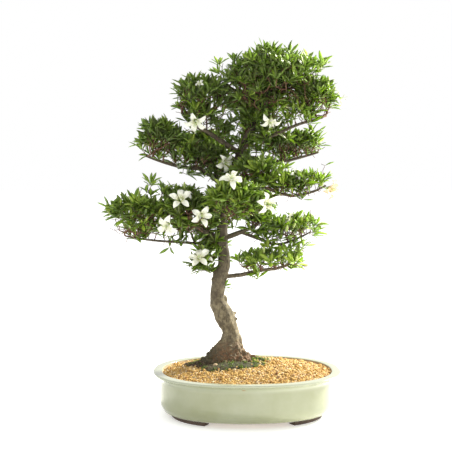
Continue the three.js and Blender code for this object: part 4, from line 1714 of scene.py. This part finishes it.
@dataclass(frozen=True)
class LeafShape:
    """A leaf one long along Y, folded along its rib, curving down to its tip."""

    breadth: float
    fold: float
    droop: float
    thickness: float = 0.018
    stations: tuple[tuple[float, float], ...] = ((0.26, 0.62), (0.55, 1.0), (0.82, 0.66))

    def points(self) -> Points:
        """Gives its base, its tip, and then left, right, rib and keel at each station.

        Returns:
            The points, n by 3.
        """
        points = [(0, 0, 0), (0, 1, -self.droop)]
        for along, wide in self.stations:
            half = self.breadth / 2 * wide
            fall = -self.droop * along**2.2
            edge = fall + self.fold * half
            points += [(-half, along, edge), (half, along, edge)]
            points += [(0, along, fall), (0, along, fall - self.thickness)]
        return np.array(points, dtype=float)

    @staticmethod
    def side(middles: tuple[int, ...]) -> list[tuple[int, int, int]]:
        """Gives the triangles of one side, as seen from above.

        Args:
            middles: the points along its middle, the ribs or the keels.

        Returns:
            The triangles.
        """
        base, tip, lefts, rights = 0, 1, (2, 6, 10), (3, 7, 11)
        faces = [(base, middles[0], lefts[0]), (base, rights[0], middles[0])]
        for k in range(2):
            near, far = middles[k], middles[k + 1]
            faces += [(near, far, lefts[k]), (lefts[k], far, lefts[k + 1])]
            faces += [(rights[k], far, near), (rights[k], rights[k + 1], far)]
        return faces + [(lefts[2], middles[2], tip), (middles[2], rights[2], tip)]

    def soup(self) -> Soup:
        """Builds the leaf as a thin closed shape, its top on the map's left half.

        Returns:
            The leaf.
        """
        points = self.points()
        top = self.side((4, 8, 12))
        under = [face[::-1] for face in self.side((5, 9, 13))]
        faces = np.array(top + under)
        across = 0.5 + points[:, 0] / self.breadth * 0.84
        spots = np.stack([across, 0.06 + points[:, 1] * 0.88], axis=-1)
        places = spots[faces] / TILES
        places[len(top) :, :, 0] += 0.5
        made = Soup()
        made.add(points, faces, places)
        return made


@dataclass
class Pad:
    """One foliage pad: where leaves may be, taken from the frame's solid."""

    name: str
    node: Thing
    inset: float = 13 * MM
    drop: float = 9 * MM
    bare_share: float = 1.4
    flat: float = 1.0
    shell: float = 0.38
    strays: float = 0.16

    def __post_init__(self) -> None:
        """Measures the pad."""
        low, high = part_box(self.name)
        self.centre = (low + high) / 2
        self.half = (high - low) / 2
        self.tree = tree_of(self.node)
        x, y, z = self.half / MM
        power = 1.6
        mean = ((x * y) ** power + (x * z) ** power + (y * z) ** power) / 3
        self.area = 4 * math.pi * mean ** (1 / power)

    def reach(self, direction: Vector) -> float:
        """Gives how far the pad's surface is from its centre in a direction."""
        hit, _, _, gap = self.tree.ray_cast(self.centre, direction)
        return gap if hit is not None else min(self.half)

    def goals(self, count: int, bare: int, rng: Draws) -> tuple[Points, Points]:
        """Picks points for twigs to reach.

        Args:
            count: how many carry leaves.
            bare: how many carry none.
            rng: the draws.

        Returns:
            The points, and whether each carries leaves.
        """
        points = []
        leafy = []
        half = np.array(self.half)
        while len(points) < count:
            draw = unit(rng.normal(size=3))
            if rng.random() > min(1.0, max(0.18, 0.62 + 0.8 * draw[2])):
                continue
            direction = Vector(unit(draw * half))
            far = max(0.3, 1 - self.inset / self.reach(direction))
            depth = far * (1 - self.shell * rng.random() ** 1.5)
            if rng.random() < self.strays:
                depth = far * rng.uniform(1.05, 1.2)
            point = np.array(self.centre + direction * (self.reach(direction) * depth))
            point[2] -= self.drop * max(0.0, direction.z)
            points.append(point)
            leafy.append(True)
        for _ in range(bare):
            draw = unit(rng.normal(size=3)) * rng.uniform(0.3, 0.92)
            draw[2] = draw[2] * 0.6 - 0.28
            points.append(np.array(self.centre) + draw * half)
            leafy.append(False)
        low = self.centre.z - self.half.z
        spots = np.array(points)
        spots[:, 2] = low + (spots[:, 2] - low) * self.flat
        return spots, np.array(leafy)


@dataclass(frozen=True)
class Habit:
    """How one pad or limb grows and is coloured: its share of leaves, how much brighter its leaves
    are (partly younger growth, partly painted light), and how flat it is.
    """

    share: float = 1.0
    tone: float = 0.0
    flat: float = 1.0


# The high tones of the low right pad and limb are painted light, standing for the key light shining
# through their leaves.
HABITS = {
    "foliage_low_right": Habit(0.29, 2.2, 0.66),
    "foliage_low_left": Habit(0.8, 0.5),
    "foliage_right_outer": Habit(0.62, 1.0),
    "foliage_right_inner": Habit(0.7, 0.8, 0.86),
    "foliage_mid_right": Habit(0.75, 0.9),
    "foliage_centre": Habit(0.85, 1.7),
    "foliage_left_outer": Habit(0.85, 1.9),
    "foliage_left_inner": Habit(1.15, 0.9),
    "foliage_upper_right": Habit(0.85),
    "foliage_front": Habit(1.2, 1.0),
    "branch_low_right": Habit(0.65, 2.2, 0.55),
    "branch_right_long": Habit(0.6),
    "branch_mid_right_lower": Habit(0.8),
}


@dataclass
class Crown:
    """The foliage: twigs in every pad and whorls of leaves at their ends."""

    nodes: dict[str, Thing]
    whorls: int = 2050
    limb_whorls: float = 480.0
    limb_spots: int = 260
    limb_rise: tuple[float, float] = (-2 * MM, 36 * MM)
    bare_trunk: float = 150 * MM
    bare_limb: float = 26 * MM
    under_bark: float = 1.2 * MM
    leaf_long: float = 25 * MM
    leaf_shapes: tuple[LeafShape, ...] = (
        LeafShape(0.25, 0.35, 0.08),
        LeafShape(0.22, 0.55, 0.2),
        LeafShape(0.28, 0.2, -0.04),
    )
    reach_out: float = 36 * MM
    seed: int = 7

    def __post_init__(self) -> None:
        """Finds the pads and the limbs' surfaces."""
        names = sorted(name for name in self.nodes if name.startswith("foliage_"))
        self.pads = [Pad(name, self.nodes[name], flat=self.habit(name).flat) for name in names]
        low = np.min([np.array(p.centre - p.half) for p in self.pads], axis=0)
        high = np.max([np.array(p.centre + p.half) for p in self.pads], axis=0)
        self.low, self.high = low, high
        trunk_low, trunk_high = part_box("trunk")
        self.middle = np.array((trunk_low + trunk_high) / 2)
        rng = np.random.default_rng(self.seed)
        limbs = sorted(name for name in self.nodes if name.startswith("branch_"))
        counts = [(name, 150) for name in limbs] + [("trunk", 420)]
        clouds = [surface_points(self.nodes[name], count, rng) for name, count in counts]
        wood = np.concatenate([spots - normals * self.under_bark for spots, normals in clouds])
        self.wood = wood[wood[:, 2] > low[2] - 30 * MM]

    @staticmethod
    def habit(name: str) -> Habit:
        """Gives the way that a pad or limb grows."""
        return HABITS.get(name, Habit())

    def build(self, leaf: Material, bark: Material) -> list[Thing]:
        """Builds every pad, then the growth along the limbs between them.

        Args:
            leaf: the leaves' finish.
            bark: the twigs' finish.

        Returns:
            The leaves and twigs, two pieces for each pad and two for the limbs.
        """
        whole = sum(pad.area for pad in self.pads)
        made = []
        for number, pad in enumerate(self.pads):
            rng = np.random.default_rng(self.seed * 100 + number)
            centre, half = np.array(pad.centre), np.array(pad.half)
            gap = np.max(np.abs(self.wood - centre) - half, axis=1)
            near = self.wood[gap < self.reach_out]
            if len(near) < 6:
                near = self.wood[np.argsort(gap)[:12]]
            full = self.whorls * pad.area / whole
            habit = self.habit(pad.name)
            goals, leafy = pad.goals(int(full * habit.share), int(full * pad.bare_share), rng)
            twigs = Twiggery([*near], [-1] * len(near), [False] * len(near))
            twigs.grow(goals, leafy, rng)
            sticks, leaves = Soup(), Soup()
            twigs.tubes(sticks)
            self.leaves(leaves, centre, half, twigs, habit.tone, rng)
            short = pad.name.removeprefix("foliage_")
            made += self.pieces(short, sticks, leaves, leaf, bark)
            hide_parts(pad.name)
        sticks, leaves = Soup(), Soup()
        limbs = sorted(name for name in self.nodes if name.startswith("branch_"))
        for number, name in enumerate(limbs + ["trunk"]):
            rng = np.random.default_rng(self.seed * 1000 + number)
            self.along(self.nodes[name], sticks, leaves, rng)
        return made + self.pieces("limbs", sticks, leaves, leaf, bark)

    @staticmethod
    def pieces(
        name: str, sticks: Soup, leaves: Soup, leaf: Material, bark: Material
    ) -> list[Thing]:
        """Makes the two pieces of one tuft of growth.

        Args:
            name: its name.
            sticks: its twigs.
            leaves: its leaves.
            leaf: the leaves' finish.
            bark: the twigs' finish.

        Returns:
            The twigs and the leaves.
        """
        twigs = mesh_object(f"twigs_{name}", [(sticks, bark)])
        foliage = mesh_object(f"leaves_{name}", [(leaves, leaf)])
        return [twigs, foliage]

    def along(self, node: Thing, sticks: Soup, leaves: Soup, rng: Draws) -> None:
        """Adds the short growth that stands up from one limb.

        Args:
            node: the limb.
            sticks: its twigs' soup.
            leaves: its leaves' soup.
            rng: the draws.
        """
        spots, normals = surface_points(node, self.limb_spots, rng)
        trunk = node.name.startswith("trunk")
        floor = self.low[2] + (self.bare_trunk if trunk else 0.0)
        away = np.hypot(spots[:, 0] - self.middle[0], spots[:, 1] - self.middle[1])
        used = (spots[:, 2] > floor) & (away > (0.0 if trunk else self.bare_limb))
        spots, normals = spots[used], normals[used]
        if len(spots) < 20:
            return
        low, high = spots.min(0), spots.max(0)
        habit = self.habit(node.name)
        count = int(self.limb_whorls * habit.share * float(np.linalg.norm(high - low)))
        chosen = rng.integers(0, len(spots), count * 2)
        rise = rng.uniform(*self.limb_rise, count * 2) * habit.flat
        scatter = rng.normal(0, 7 * MM, (count * 2, 3))
        goals = spots[chosen] + normals[chosen] * 5 * MM + scatter
        goals[:, 2] += rise
        starts = [*(spots - normals * self.under_bark)]
        twigs = Twiggery(starts, [-1] * len(spots), [False] * len(spots))
        twigs.grow(goals, np.arange(count * 2) < count, rng)
        twigs.tubes(sticks)
        half = np.maximum((high - low) / 2, 30 * MM)
        self.leaves(leaves, (low + high) / 2, half, twigs, habit.tone, rng)

    def leaves(
        self,
        soup: Soup,
        centre: Points,
        half: Points,
        twigs: Twiggery,
        tone: float,
        rng: Draws,
    ) -> None:
        """Adds the leaves of one tuft of growth.

        Args:
            soup: what they are added to.
            centre: the tuft's middle.
            half: half its size each way.
            twigs: its twigs.
            tone: how much brighter its leaves are, partly younger growth and partly painted light.
            rng: the draws.
        """
        _, children = twigs.radii()
        forwards, ups, origins, longs, rows = [], [], [], [], []
        for index, has_leaves in enumerate(twigs.leafy):
            if not has_leaves:
                continue
            spot = twigs.spots[index]
            parent = twigs.spots[twigs.parents[index]]
            ending = not children[index]
            out = unit((spot - centre) / half)
            axis = 0.45 * unit(spot - parent) + 0.4 * out + np.array([0, 0, 0.75])
            axis = unit(axis + rng.normal(0, 0.18, 3))
            # A leaf's row sets its colour from dark to bright. Beside its age, this paints light
            # and shade: brighter towards the right where the key light falls, brighter on the upper
            # outside, and darker deep inside the tuft where shade falls.
            right, _, high = (spot - self.low) / (self.high - self.low)
            depth = float(np.linalg.norm((spot - centre) / half))
            fresh = 0.8 + tone + (2.25 * right - 0.15) * (1 - 0.62 * high)
            fresh += 1.7 * max(0.0, out[2]) * depth + rng.normal(0, 0.7)
            fresh -= 3.6 * max(0.0, 0.8 - depth)
            side = unit(np.cross(axis, (0.3, 0.9, 0.2)))
            other = np.cross(axis, side)
            count = int(rng.integers(5, 9)) if ending else int(rng.integers(1, 4))
            start = rng.random() * FULL_TURN
            # Bright young shoots are more often on the right, which adds painted light on the lit
            # side.
            shoot = ending and rng.random() < 0.2 + 0.3 * right
            for k in range(count):
                turn = start + k * 2.4 + rng.normal(0, 0.2)
                young = shoot and k >= count - 3
                spreading = rng.uniform(0.12, 0.4) if young else rng.uniform(0.5, 1.15)
                around = math.cos(turn) * side + math.sin(turn) * other
                forward = unit(math.cos(spreading) * axis + math.sin(spreading) * around)
                forwards.append(forward)
                ups.append(unit(axis - around * 0.3 + rng.normal(0, 0.22, 3)))
                origins.append(spot + axis * (k - count / 2) * 0.5 * MM)
                size = rng.uniform(0.55, 0.78) if young else rng.uniform(0.78, 1.14)
                longs.append(size * self.leaf_long)
                level = fresh + (rng.uniform(1.0, 2.4) if young else rng.normal(0, 1.1))
                rows.append(min(LEAF_ROWS, max(0.0, level)))
        forwards, ups, origins = np.array(forwards), np.array(ups), np.array(origins)
        longs, rows = np.array(longs), np.floor(np.array(rows))
        turns = axes_from(forwards, ups) * longs[:, None, None]
        kinds = rng.integers(0, len(self.leaf_shapes), len(longs))
        columns = rng.integers(0, TILES // 2, len(longs))
        for kind, shape in enumerate(self.leaf_shapes):
            chosen = kinds == kind
            shifts = tile_shift(columns[chosen], rows[chosen])
            soup.stamp(shape.soup(), turns[chosen], origins[chosen], shifts)


# The flowers


class Bloom(Enum):
    """How far a flower has come."""

    FRESH = "fresh"
    FADED = "faded"


@dataclass(frozen=True)
class Spray:
    """A flower that grows from a pad, at a bearing from its middle and so far up and out."""

    pad: str
    bearing: float
    lift: float
    size: float = 1.0
    out: float = 0.96


@dataclass
class Blossoms:
    """White azalea flowers: five petals round a throat, with stamens, calyx and stalk."""

    nodes: dict[str, Thing]
    pads: list[Pad]
    radius: float = 19.5 * MM
    throat: float = 13 * MM
    forward: float = 5 * MM
    faded: tuple[str, ...] = ("flower_mid_right",)
    petal_cells: tuple[int, int] = (8, 9)
    petal_thickness: float = 0.35 * MM
    petals: int = 5
    stamens: int = 7
    pistil: float = 10 * MM
    size: tuple[float, float] = (0.98, 1.1)
    bud_count: int = 46
    bud_half: Triple = (2.3 * MM, 2.3 * MM, 7 * MM)
    anther_half: Triple = (0.55 * MM, 0.55 * MM, 0.8 * MM)
    seed: int = 23
    sprays: tuple[Spray, ...] = (
        Spray("foliage_low_left", -71, 41, 0.8),
        Spray("foliage_apex_right", -22, 1, 0.95, 1.16),
        Spray("foliage_right_outer", -112, 42, 0.8, 1.0),
        Spray("foliage_mid_right", -58, 42, 0.72, 1.0),
        Spray("foliage_left_inner", -97, 51, 0.75),
        Spray("foliage_upper_left", -100, 27, 0.45),
        Spray("foliage_back_mid", 80, 10, 0.9),
        Spray("foliage_back_upper", 95, 20, 0.9),
        Spray("foliage_back_low", 110, 15, 0.95),
        Spray("foliage_right_outer", 60, 20, 0.85),
        Spray("foliage_left_outer", 120, 25, 0.9),
        Spray("foliage_apex", 100, 20, 0.9),
    )

    def petal(self, rng: Draws) -> tuple[Points, Points, Points]:
        """Builds one petal as a thin closed sheet that runs out along Y, throat down.

        Args:
            rng: the draws.

        Returns:
            Its points, triangles and map places.
        """
        across, along = self.petal_cells
        u = np.linspace(-1, 1, across + 1)[None, :]
        v = np.linspace(0, 1, along + 1)[:, None]
        wave = rng.uniform(0, 6.28)
        curl = rng.uniform(0.12, 0.52)
        twist = rng.normal(0, 0.22)
        y = self.radius * (0.07 + 0.98 * v - 0.05 * v**3)
        belly = rng.uniform(0.19, 0.23) * np.sin(math.pi * v**1.1 * 0.985) ** 0.75
        half = self.radius * (0.06 * (1 - v) + belly + 0.012)
        x = half * u
        depth = -self.throat * (1 - v) ** 2.4
        depth = depth + self.radius * (0.16 * v * (1 - v) - curl * v**2.6)
        fold = half * (0.42 * u**2 - 0.25 * np.exp(-((u / 0.25) ** 2)) * v)
        ripple = half * 0.14 * np.sin(v * 9.0 + wave) * np.abs(u) * u
        z = depth + fold + ripple + x * twist * v
        front = np.stack(np.broadcast_arrays(x, y, z), axis=-1).reshape(-1, 3)
        back = front - np.array([0, 0, self.petal_thickness])
        grid = np.arange((along + 1) * (across + 1)).reshape(along + 1, across + 1)
        below = grid.size
        faces = []
        for i in range(along):
            for j in range(across):
                a, b, c, d = grid[i, j], grid[i, j + 1], grid[i + 1, j + 1], grid[i + 1, j]
                faces += [(a, b, c), (a, c, d)]
                faces += [(a + below, c + below, b + below), (a + below, d + below, c + below)]
        loop = [*grid[0, :-1], *grid[:-1, -1], *grid[-1, :0:-1], *grid[:0:-1, 0]]
        for first, second in zip(loop, loop[1:] + loop[:1]):
            faces.append((second, first, first + below))
            faces.append((second, first + below, second + below))
        faces = np.array(faces)
        spots = np.broadcast_arrays(u * 0.46 + 0.5, v * 0.96 + 0.02)
        spots = np.stack(spots, axis=-1).reshape(-1, 2)
        spots = np.concatenate([spots, spots])
        return np.concatenate([front, back]), faces, spots[faces]

    def down_throat(self, shares: tuple[float, ...]) -> Points:
        """Gives points below a flower's face, in shares of the throat's depth."""
        return np.array([[0, 0, -self.throat * share] for share in shares])

    def flower(self, turn: Points, centre: Points, size: float, rng: Draws) -> list[Soup]:
        """Builds one flower.

        Args:
            turn: its axes as columns, the third being the way it faces.
            centre: the middle of its open face.
            size: its size, 1 being full.
            rng: the draws.

        Returns:
            Its petals, its green parts, and its anthers.
        """
        petals, green, gold = Soup(), Soup(), Soup()

        def placed(points: Points) -> Points:
            """Puts points of the flower where they go."""
            return points @ turn.T * size + centre

        start = rng.uniform(0, FULL_TURN)
        for k in range(self.petals):
            angle = start + k * FULL_TURN / self.petals + rng.normal(0, 0.09)
            points, faces, places = self.petal(rng)
            points = points + np.array([0, 0, 0.45 * MM * (k % 2)])
            lean = np.array(Matrix.Rotation(rng.normal(-0.04, 0.2), 3, "X"))
            spin = np.array(Matrix.Rotation(angle, 3, "Z"))
            petals.add(placed((points @ lean.T) @ spin.T), faces, places)
        cup = placed(self.down_throat((1.05, 0.8, 0.55, 0.42)))
        tube(petals, cup, np.array([0.9, 1.5, 2.1, 1.6]) * MM * size, 10)
        points, faces = ball(1)
        for k in range(self.stamens):
            angle = k * 0.9 + rng.uniform(0, 0.3)
            away = rng.uniform(0.12, 0.24) * self.radius
            top = rng.uniform(1.0, 6.0) * MM if k else self.pistil
            end = np.array([math.cos(angle) * away, math.sin(angle) * away, top])
            route = np.array([[0, 0, -self.throat * 0.95], end * [0.5, 0.5, 0.0], end])
            tube(green, placed(route), np.array([0.3, 0.26, 0.2]) * MM * size, 4)
            tip = placed(points * np.array(self.anther_half) + end)
            gold.add(tip, faces, flat_places(points, faces) * 2)
        neck = placed(self.down_throat((0.72, 0.9, 1.05, 1.3, 1.75)))
        tube(green, neck, np.array([1.6, 1.9, 2.0, 0.8, 0.7]) * MM * size, 7)
        return [petals, green, gold]

    def facing(self, node: Thing) -> tuple[Points, Points]:
        """Finds which way one of the frame's flowers faces.

        Args:
            node: the frame's flower.

        Returns:
            Its axis and the middle of its open face.
        """
        points = node_points(node)
        middle = points.mean(0)
        _, _, axes = np.linalg.svd(points - middle)
        best = None
        for axis in axes:
            height = (points - middle) @ axis
            lopsided = float((height**3).mean() / max((height**2).mean(), 1e-12) ** 1.5)
            if best is None or abs(lopsided) > abs(best[0]):
                best = (lopsided, axis)
        lopsided, axis = best
        axis = -axis if lopsided > 0 else axis
        height = (points - middle) @ axis
        face = points[height > np.percentile(height, 35)]
        return axis, face.mean(0)

    def build(
        self, skins: dict[Bloom, Material], green: Material, gold: Material
    ) -> list[Thing]:
        """Builds every flower.

        Args:
            skins: the petals' finish for each stage.
            green: the stalks' and filaments' finish.
            gold: the anthers' finish.

        Returns:
            The flowers.
        """
        made = []
        rng = np.random.default_rng(self.seed)
        for name in sorted(n for n in self.nodes if n.startswith("flower_")):
            axis, middle = self.facing(self.nodes[name])
            turn = turn_facing(unit(np.cross(rng.normal(size=3), axis)), axis)
            size = rng.uniform(*self.size)
            soups = self.flower(turn, middle + axis * self.forward, size, rng)
            petal = skins[Bloom.FADED if name in self.faded else Bloom.FRESH]
            short = name.replace("flower", "blossom")
            blossom = mesh_object(short, list(zip(soups, (petal, green, gold))))
            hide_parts(name)
            made.append(blossom)
        for number, spray in enumerate(self.sprays):
            pad = next(p for p in self.pads if p.name == spray.pad)
            bearing, lift = math.radians(spray.bearing), math.radians(spray.lift)
            level = math.cos(lift)
            out = Vector((math.cos(bearing) * level, math.sin(bearing) * level, math.sin(lift)))
            middle = np.array(pad.centre + out * (pad.reach(out) * spray.out))
            axis = unit(np.array(out) + rng.normal(0, 0.15, 3))
            turn = turn_facing(unit(np.cross(axis, (0.2, 0.1, 0.95))), axis)
            soups = self.flower(turn, middle, spray.size, rng)
            finishes = (skins[Bloom.FRESH], green, gold)
            blossom = mesh_object(f"blossom_{number + 1}", list(zip(soups, finishes)))
            made.append(blossom)
        return made

    def buds(self, skin: Material) -> Thing:
        """Builds closed buds over the pads.

        Args:
            skin: their finish.

        Returns:
            The buds.
        """
        rng = np.random.default_rng(self.seed + 5)
        points, faces = ball(2)
        profile = np.where(points[:, 2] > 0, 1 - 0.45 * points[:, 2] ** 2, 1.0)
        points = points * np.stack([profile, profile, np.ones(len(points))], axis=-1)
        soup = Soup()
        for _ in range(self.bud_count):
            pad = self.pads[int(rng.integers(0, len(self.pads)))]
            draw = unit(rng.normal(size=3))
            draw[2] = abs(draw[2]) * 0.9 + 0.1
            out = Vector(unit(draw * np.array(pad.half)))
            spot = np.array(pad.centre + out * (pad.reach(out) * rng.uniform(0.9, 1.0)))
            axis = unit(0.5 * np.array(out) + np.array([0, 0, 0.8]) + rng.normal(0, 0.2, 3))
            turn = turn_facing(unit(np.cross(axis, (0.9, 0.2, 0.1))), axis)
            size = rng.uniform(0.8, 1.15)
            placed = (points * (np.array(self.bud_half) * size)) @ turn.T + spot
            soup.add(placed, faces, flat_places(points, faces) * 6)
        buds = mesh_object("buds", [(soup, skin)])
        return buds


# The studio


@dataclass(frozen=True)
class Lamp:
    """A round area light, placed from the pot's middle."""

    name: str
    place: Triple
    size: float
    watts: float
    tint: Colour


@dataclass
class Studio:
    """White floor and backdrop, soft light from the right, and the camera."""

    middle: Vector
    distance: float = 1556.9 * MM
    eye_height: float = 429.8 * MM
    sideways: float = -3.07 * MM
    bearing: float = -3.054
    look: float = -1.763
    pitch: float = 3.21
    lens: float = 68.615
    sensor: float = 36.0
    lamps: tuple[Lamp, ...] = (
        Lamp("key", (1.65, 0.85, 1.2), 0.5, 158.0, (1.0, 0.97, 0.86)),
        Lamp("fill", (-0.4, -1.9, 1.0), 1.2, 3.0, (1.0, 0.99, 0.96)),
    )
    aim: float = 330 * MM
    floor_size: float = 40.0
    floor_white: Colour = (0.95, 0.95, 0.95)

    def camera(self) -> Thing:
        """Places the camera.

        Returns:
            The camera.
        """
        a, b, p = math.radians(self.bearing), math.radians(self.look), math.radians(self.pitch)
        ahead = Vector((-math.sin(a), math.cos(a), 0))
        right = Vector((math.cos(a), math.sin(a), 0))
        data = bpy.data.cameras.new("camera")
        data.lens = self.lens
        data.sensor_width = self.sensor
        data.clip_start = 0.05
        data.clip_end = 100.0
        camera = bpy.data.objects.new("camera", data)
        eye = Vector((self.middle.x, self.middle.y, self.eye_height))
        camera.location = eye - ahead * self.distance + right * self.sideways
        view = Vector((-math.sin(b) * math.cos(p), math.cos(b) * math.cos(p), -math.sin(p)))
        camera.rotation_euler = view.to_track_quat("-Z", "Y").to_euler()
        bpy.context.scene.collection.objects.link(camera)
        bpy.context.scene.camera = camera
        return camera

    def light(self, lamp: Lamp) -> None:
        """Adds a light aimed at the crown.

        Args:
            lamp: the light.
        """
        data = bpy.data.lights.new(lamp.name, "AREA")
        data.shape = "DISK"
        data.size = lamp.size
        data.energy = lamp.watts
        data.color = lamp.tint
        thing = bpy.data.objects.new(lamp.name, data)
        target = Vector((self.middle.x, self.middle.y, self.aim))
        thing.location = Vector((self.middle.x, self.middle.y, 0)) + Vector(lamp.place)
        thing.rotation_euler = (target - thing.location).to_track_quat("-Z", "Y").to_euler()
        bpy.context.scene.collection.objects.link(thing)

    def build(self) -> None:
        """Builds the floor, the lights and the camera."""
        bpy.ops.mesh.primitive_plane_add(size=self.floor_size, location=(0, 6.0, 0))
        floor = bpy.context.object
        floor.name = "floor"
        white = (*self.floor_white, 1.0)
        finish = Shading("white_floor").finish(
            Base_Color=white, Roughness=0.9, Emission_Color=white, Emission_Strength=0.4
        )
        floor.data.materials.append(finish)
        world = bpy.data.worlds.new("white")
        world.use_nodes = True
        background = world.node_tree.nodes["Background"]
        background.inputs["Color"].default_value = (1.0, 1.0, 1.0, 1.0)
        background.inputs["Strength"].default_value = 1.0
        bpy.context.scene.world = world
        for lamp in self.lamps:
            self.light(lamp)
        bpy.context.scene.view_settings.view_transform = "Standard"
        self.camera()


def report(*pieces: Thing) -> None:
    """Logs each piece and how many faces it has."""
    for piece in pieces:
        LOG.info("made %s: %d faces", piece.name, len(piece.data.polygons))


def make_pot(nodes: dict[str, Thing]) -> Pot:
    """Builds the pot and its feet, and dresses the screens and clips.

    Args:
        nodes: the frame's nodes.

    Returns:
        The pot's measures.
    """
    pot = Pot()
    glaze = Glaze().material(pot.top, (pot.neck + pot.lip) / 2, pot.chip_place())
    bare = BareClay("bare_clay", (0.38, 0.28, 0.17), (0.52, 0.42, 0.27), (0.18, 0.12, 0.07))
    dark = BareClay("foot_clay", (0.075, 0.05, 0.038), (0.14, 0.1, 0.075), (0.03, 0.02, 0.015))
    report(pot.build(glaze, bare.material()), *pot.feet(dark.material()))
    net_colours = (0.02, 0.02, 0.02), (0.05, 0.05, 0.045), (0.09, 0.08, 0.07)
    net = Ground("screen_net", *net_colours, 300.0, 0.2 * MM)
    wire = Plain("copper_wire", (0.42, 0.20, 0.10), (0.24, 0.12, 0.07), 0.4)
    LOG.info("dressed %s", dress(nodes, "drain_screen", net.material()))
    LOG.info("dressed %s", dress(nodes, "screen_clip", wire.material()))
    return pot


def make_bed(nodes: dict[str, Thing]) -> Bed:
    """Builds the soil, gravel, moss, crumbs and stone.

    Args:
        nodes: the frame's nodes.

    Returns:
        The bed's measures.
    """
    bed = Bed(nodes)
    soil_colours = (0.16, 0.09, 0.045), (0.34, 0.21, 0.10), (0.55, 0.38, 0.20)
    soil = Ground("soil", *soil_colours, 260.0, 0.8 * MM)
    report(bed.surface(soil.material()), *bed.gravel(GrainSkin().material()))
    mat_colours = (0.030, 0.024, 0.012), (0.07, 0.065, 0.025), (0.12, 0.15, 0.045)
    mat = Ground("moss_mat", *mat_colours, 150.0, 1.0 * MM)
    tuft = LeafSkin(stops=MOSS_STOPS, name="moss_blade").material()
    crumb = Plain("mulch_crumb", (0.050, 0.032, 0.018), (0.13, 0.085, 0.045), 0.95)
    report(*bed.moss(mat.material(), tuft), *bed.mulch(crumb.material(), tuft))
    stone_colours = (0.28, 0.20, 0.11), (0.40, 0.30, 0.18), (0.52, 0.42, 0.29)
    pale = Ground("pale_stone_skin", *stone_colours, 90.0, 0.5 * MM)
    report(bed.stone(pale.material()))
    return bed


def make_tree(nodes: dict[str, Thing], bed: Bed) -> None:
    """Builds the wood, the crown, the flowers and the buds.

    Args:
        nodes: the frame's nodes.
        bed: the bed that the tree stands in.
    """
    crown = Crown(nodes)
    skin = Bark().material(float(bed.foot[2]), float(crown.low[2]), float(bed.foot[0]))
    report(Wood(nodes).build(skin))
    report(*crown.build(LeafSkin().material(), TwigBark().material()))
    blossoms = Blossoms(nodes, crown.pads)
    green = Plain("stalk_green", (0.25, 0.42, 0.08), (0.42, 0.52, 0.16), 0.55)
    gold = Plain("anther", (0.42, 0.30, 0.12), (0.55, 0.42, 0.22), 0.7)
    bud = Plain("bud_skin", (0.30, 0.42, 0.08), (0.56, 0.62, 0.24), 0.5, 0.25)
    faded = PetalSkin("faded_petal", (0.80, 0.58, 0.38), (0.72, 0.50, 0.30))
    skins = {Bloom.FRESH: PetalSkin().material(), Bloom.FADED: faded.material()}
    report(*blossoms.build(skins, green.material(), gold.material()))
    report(blossoms.buds(bud.material()))


def main() -> None:
    """Builds the whole scene and reports each piece."""
    logging.basicConfig(level=logging.INFO, format="%(message)s")
    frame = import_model()
    pot = make_pot(frame["nodes"])
    bed = make_bed(frame["nodes"])
    make_tree(frame["nodes"], bed)
    Studio(pot.middle).build()


if __name__ == "__main__":
    main()
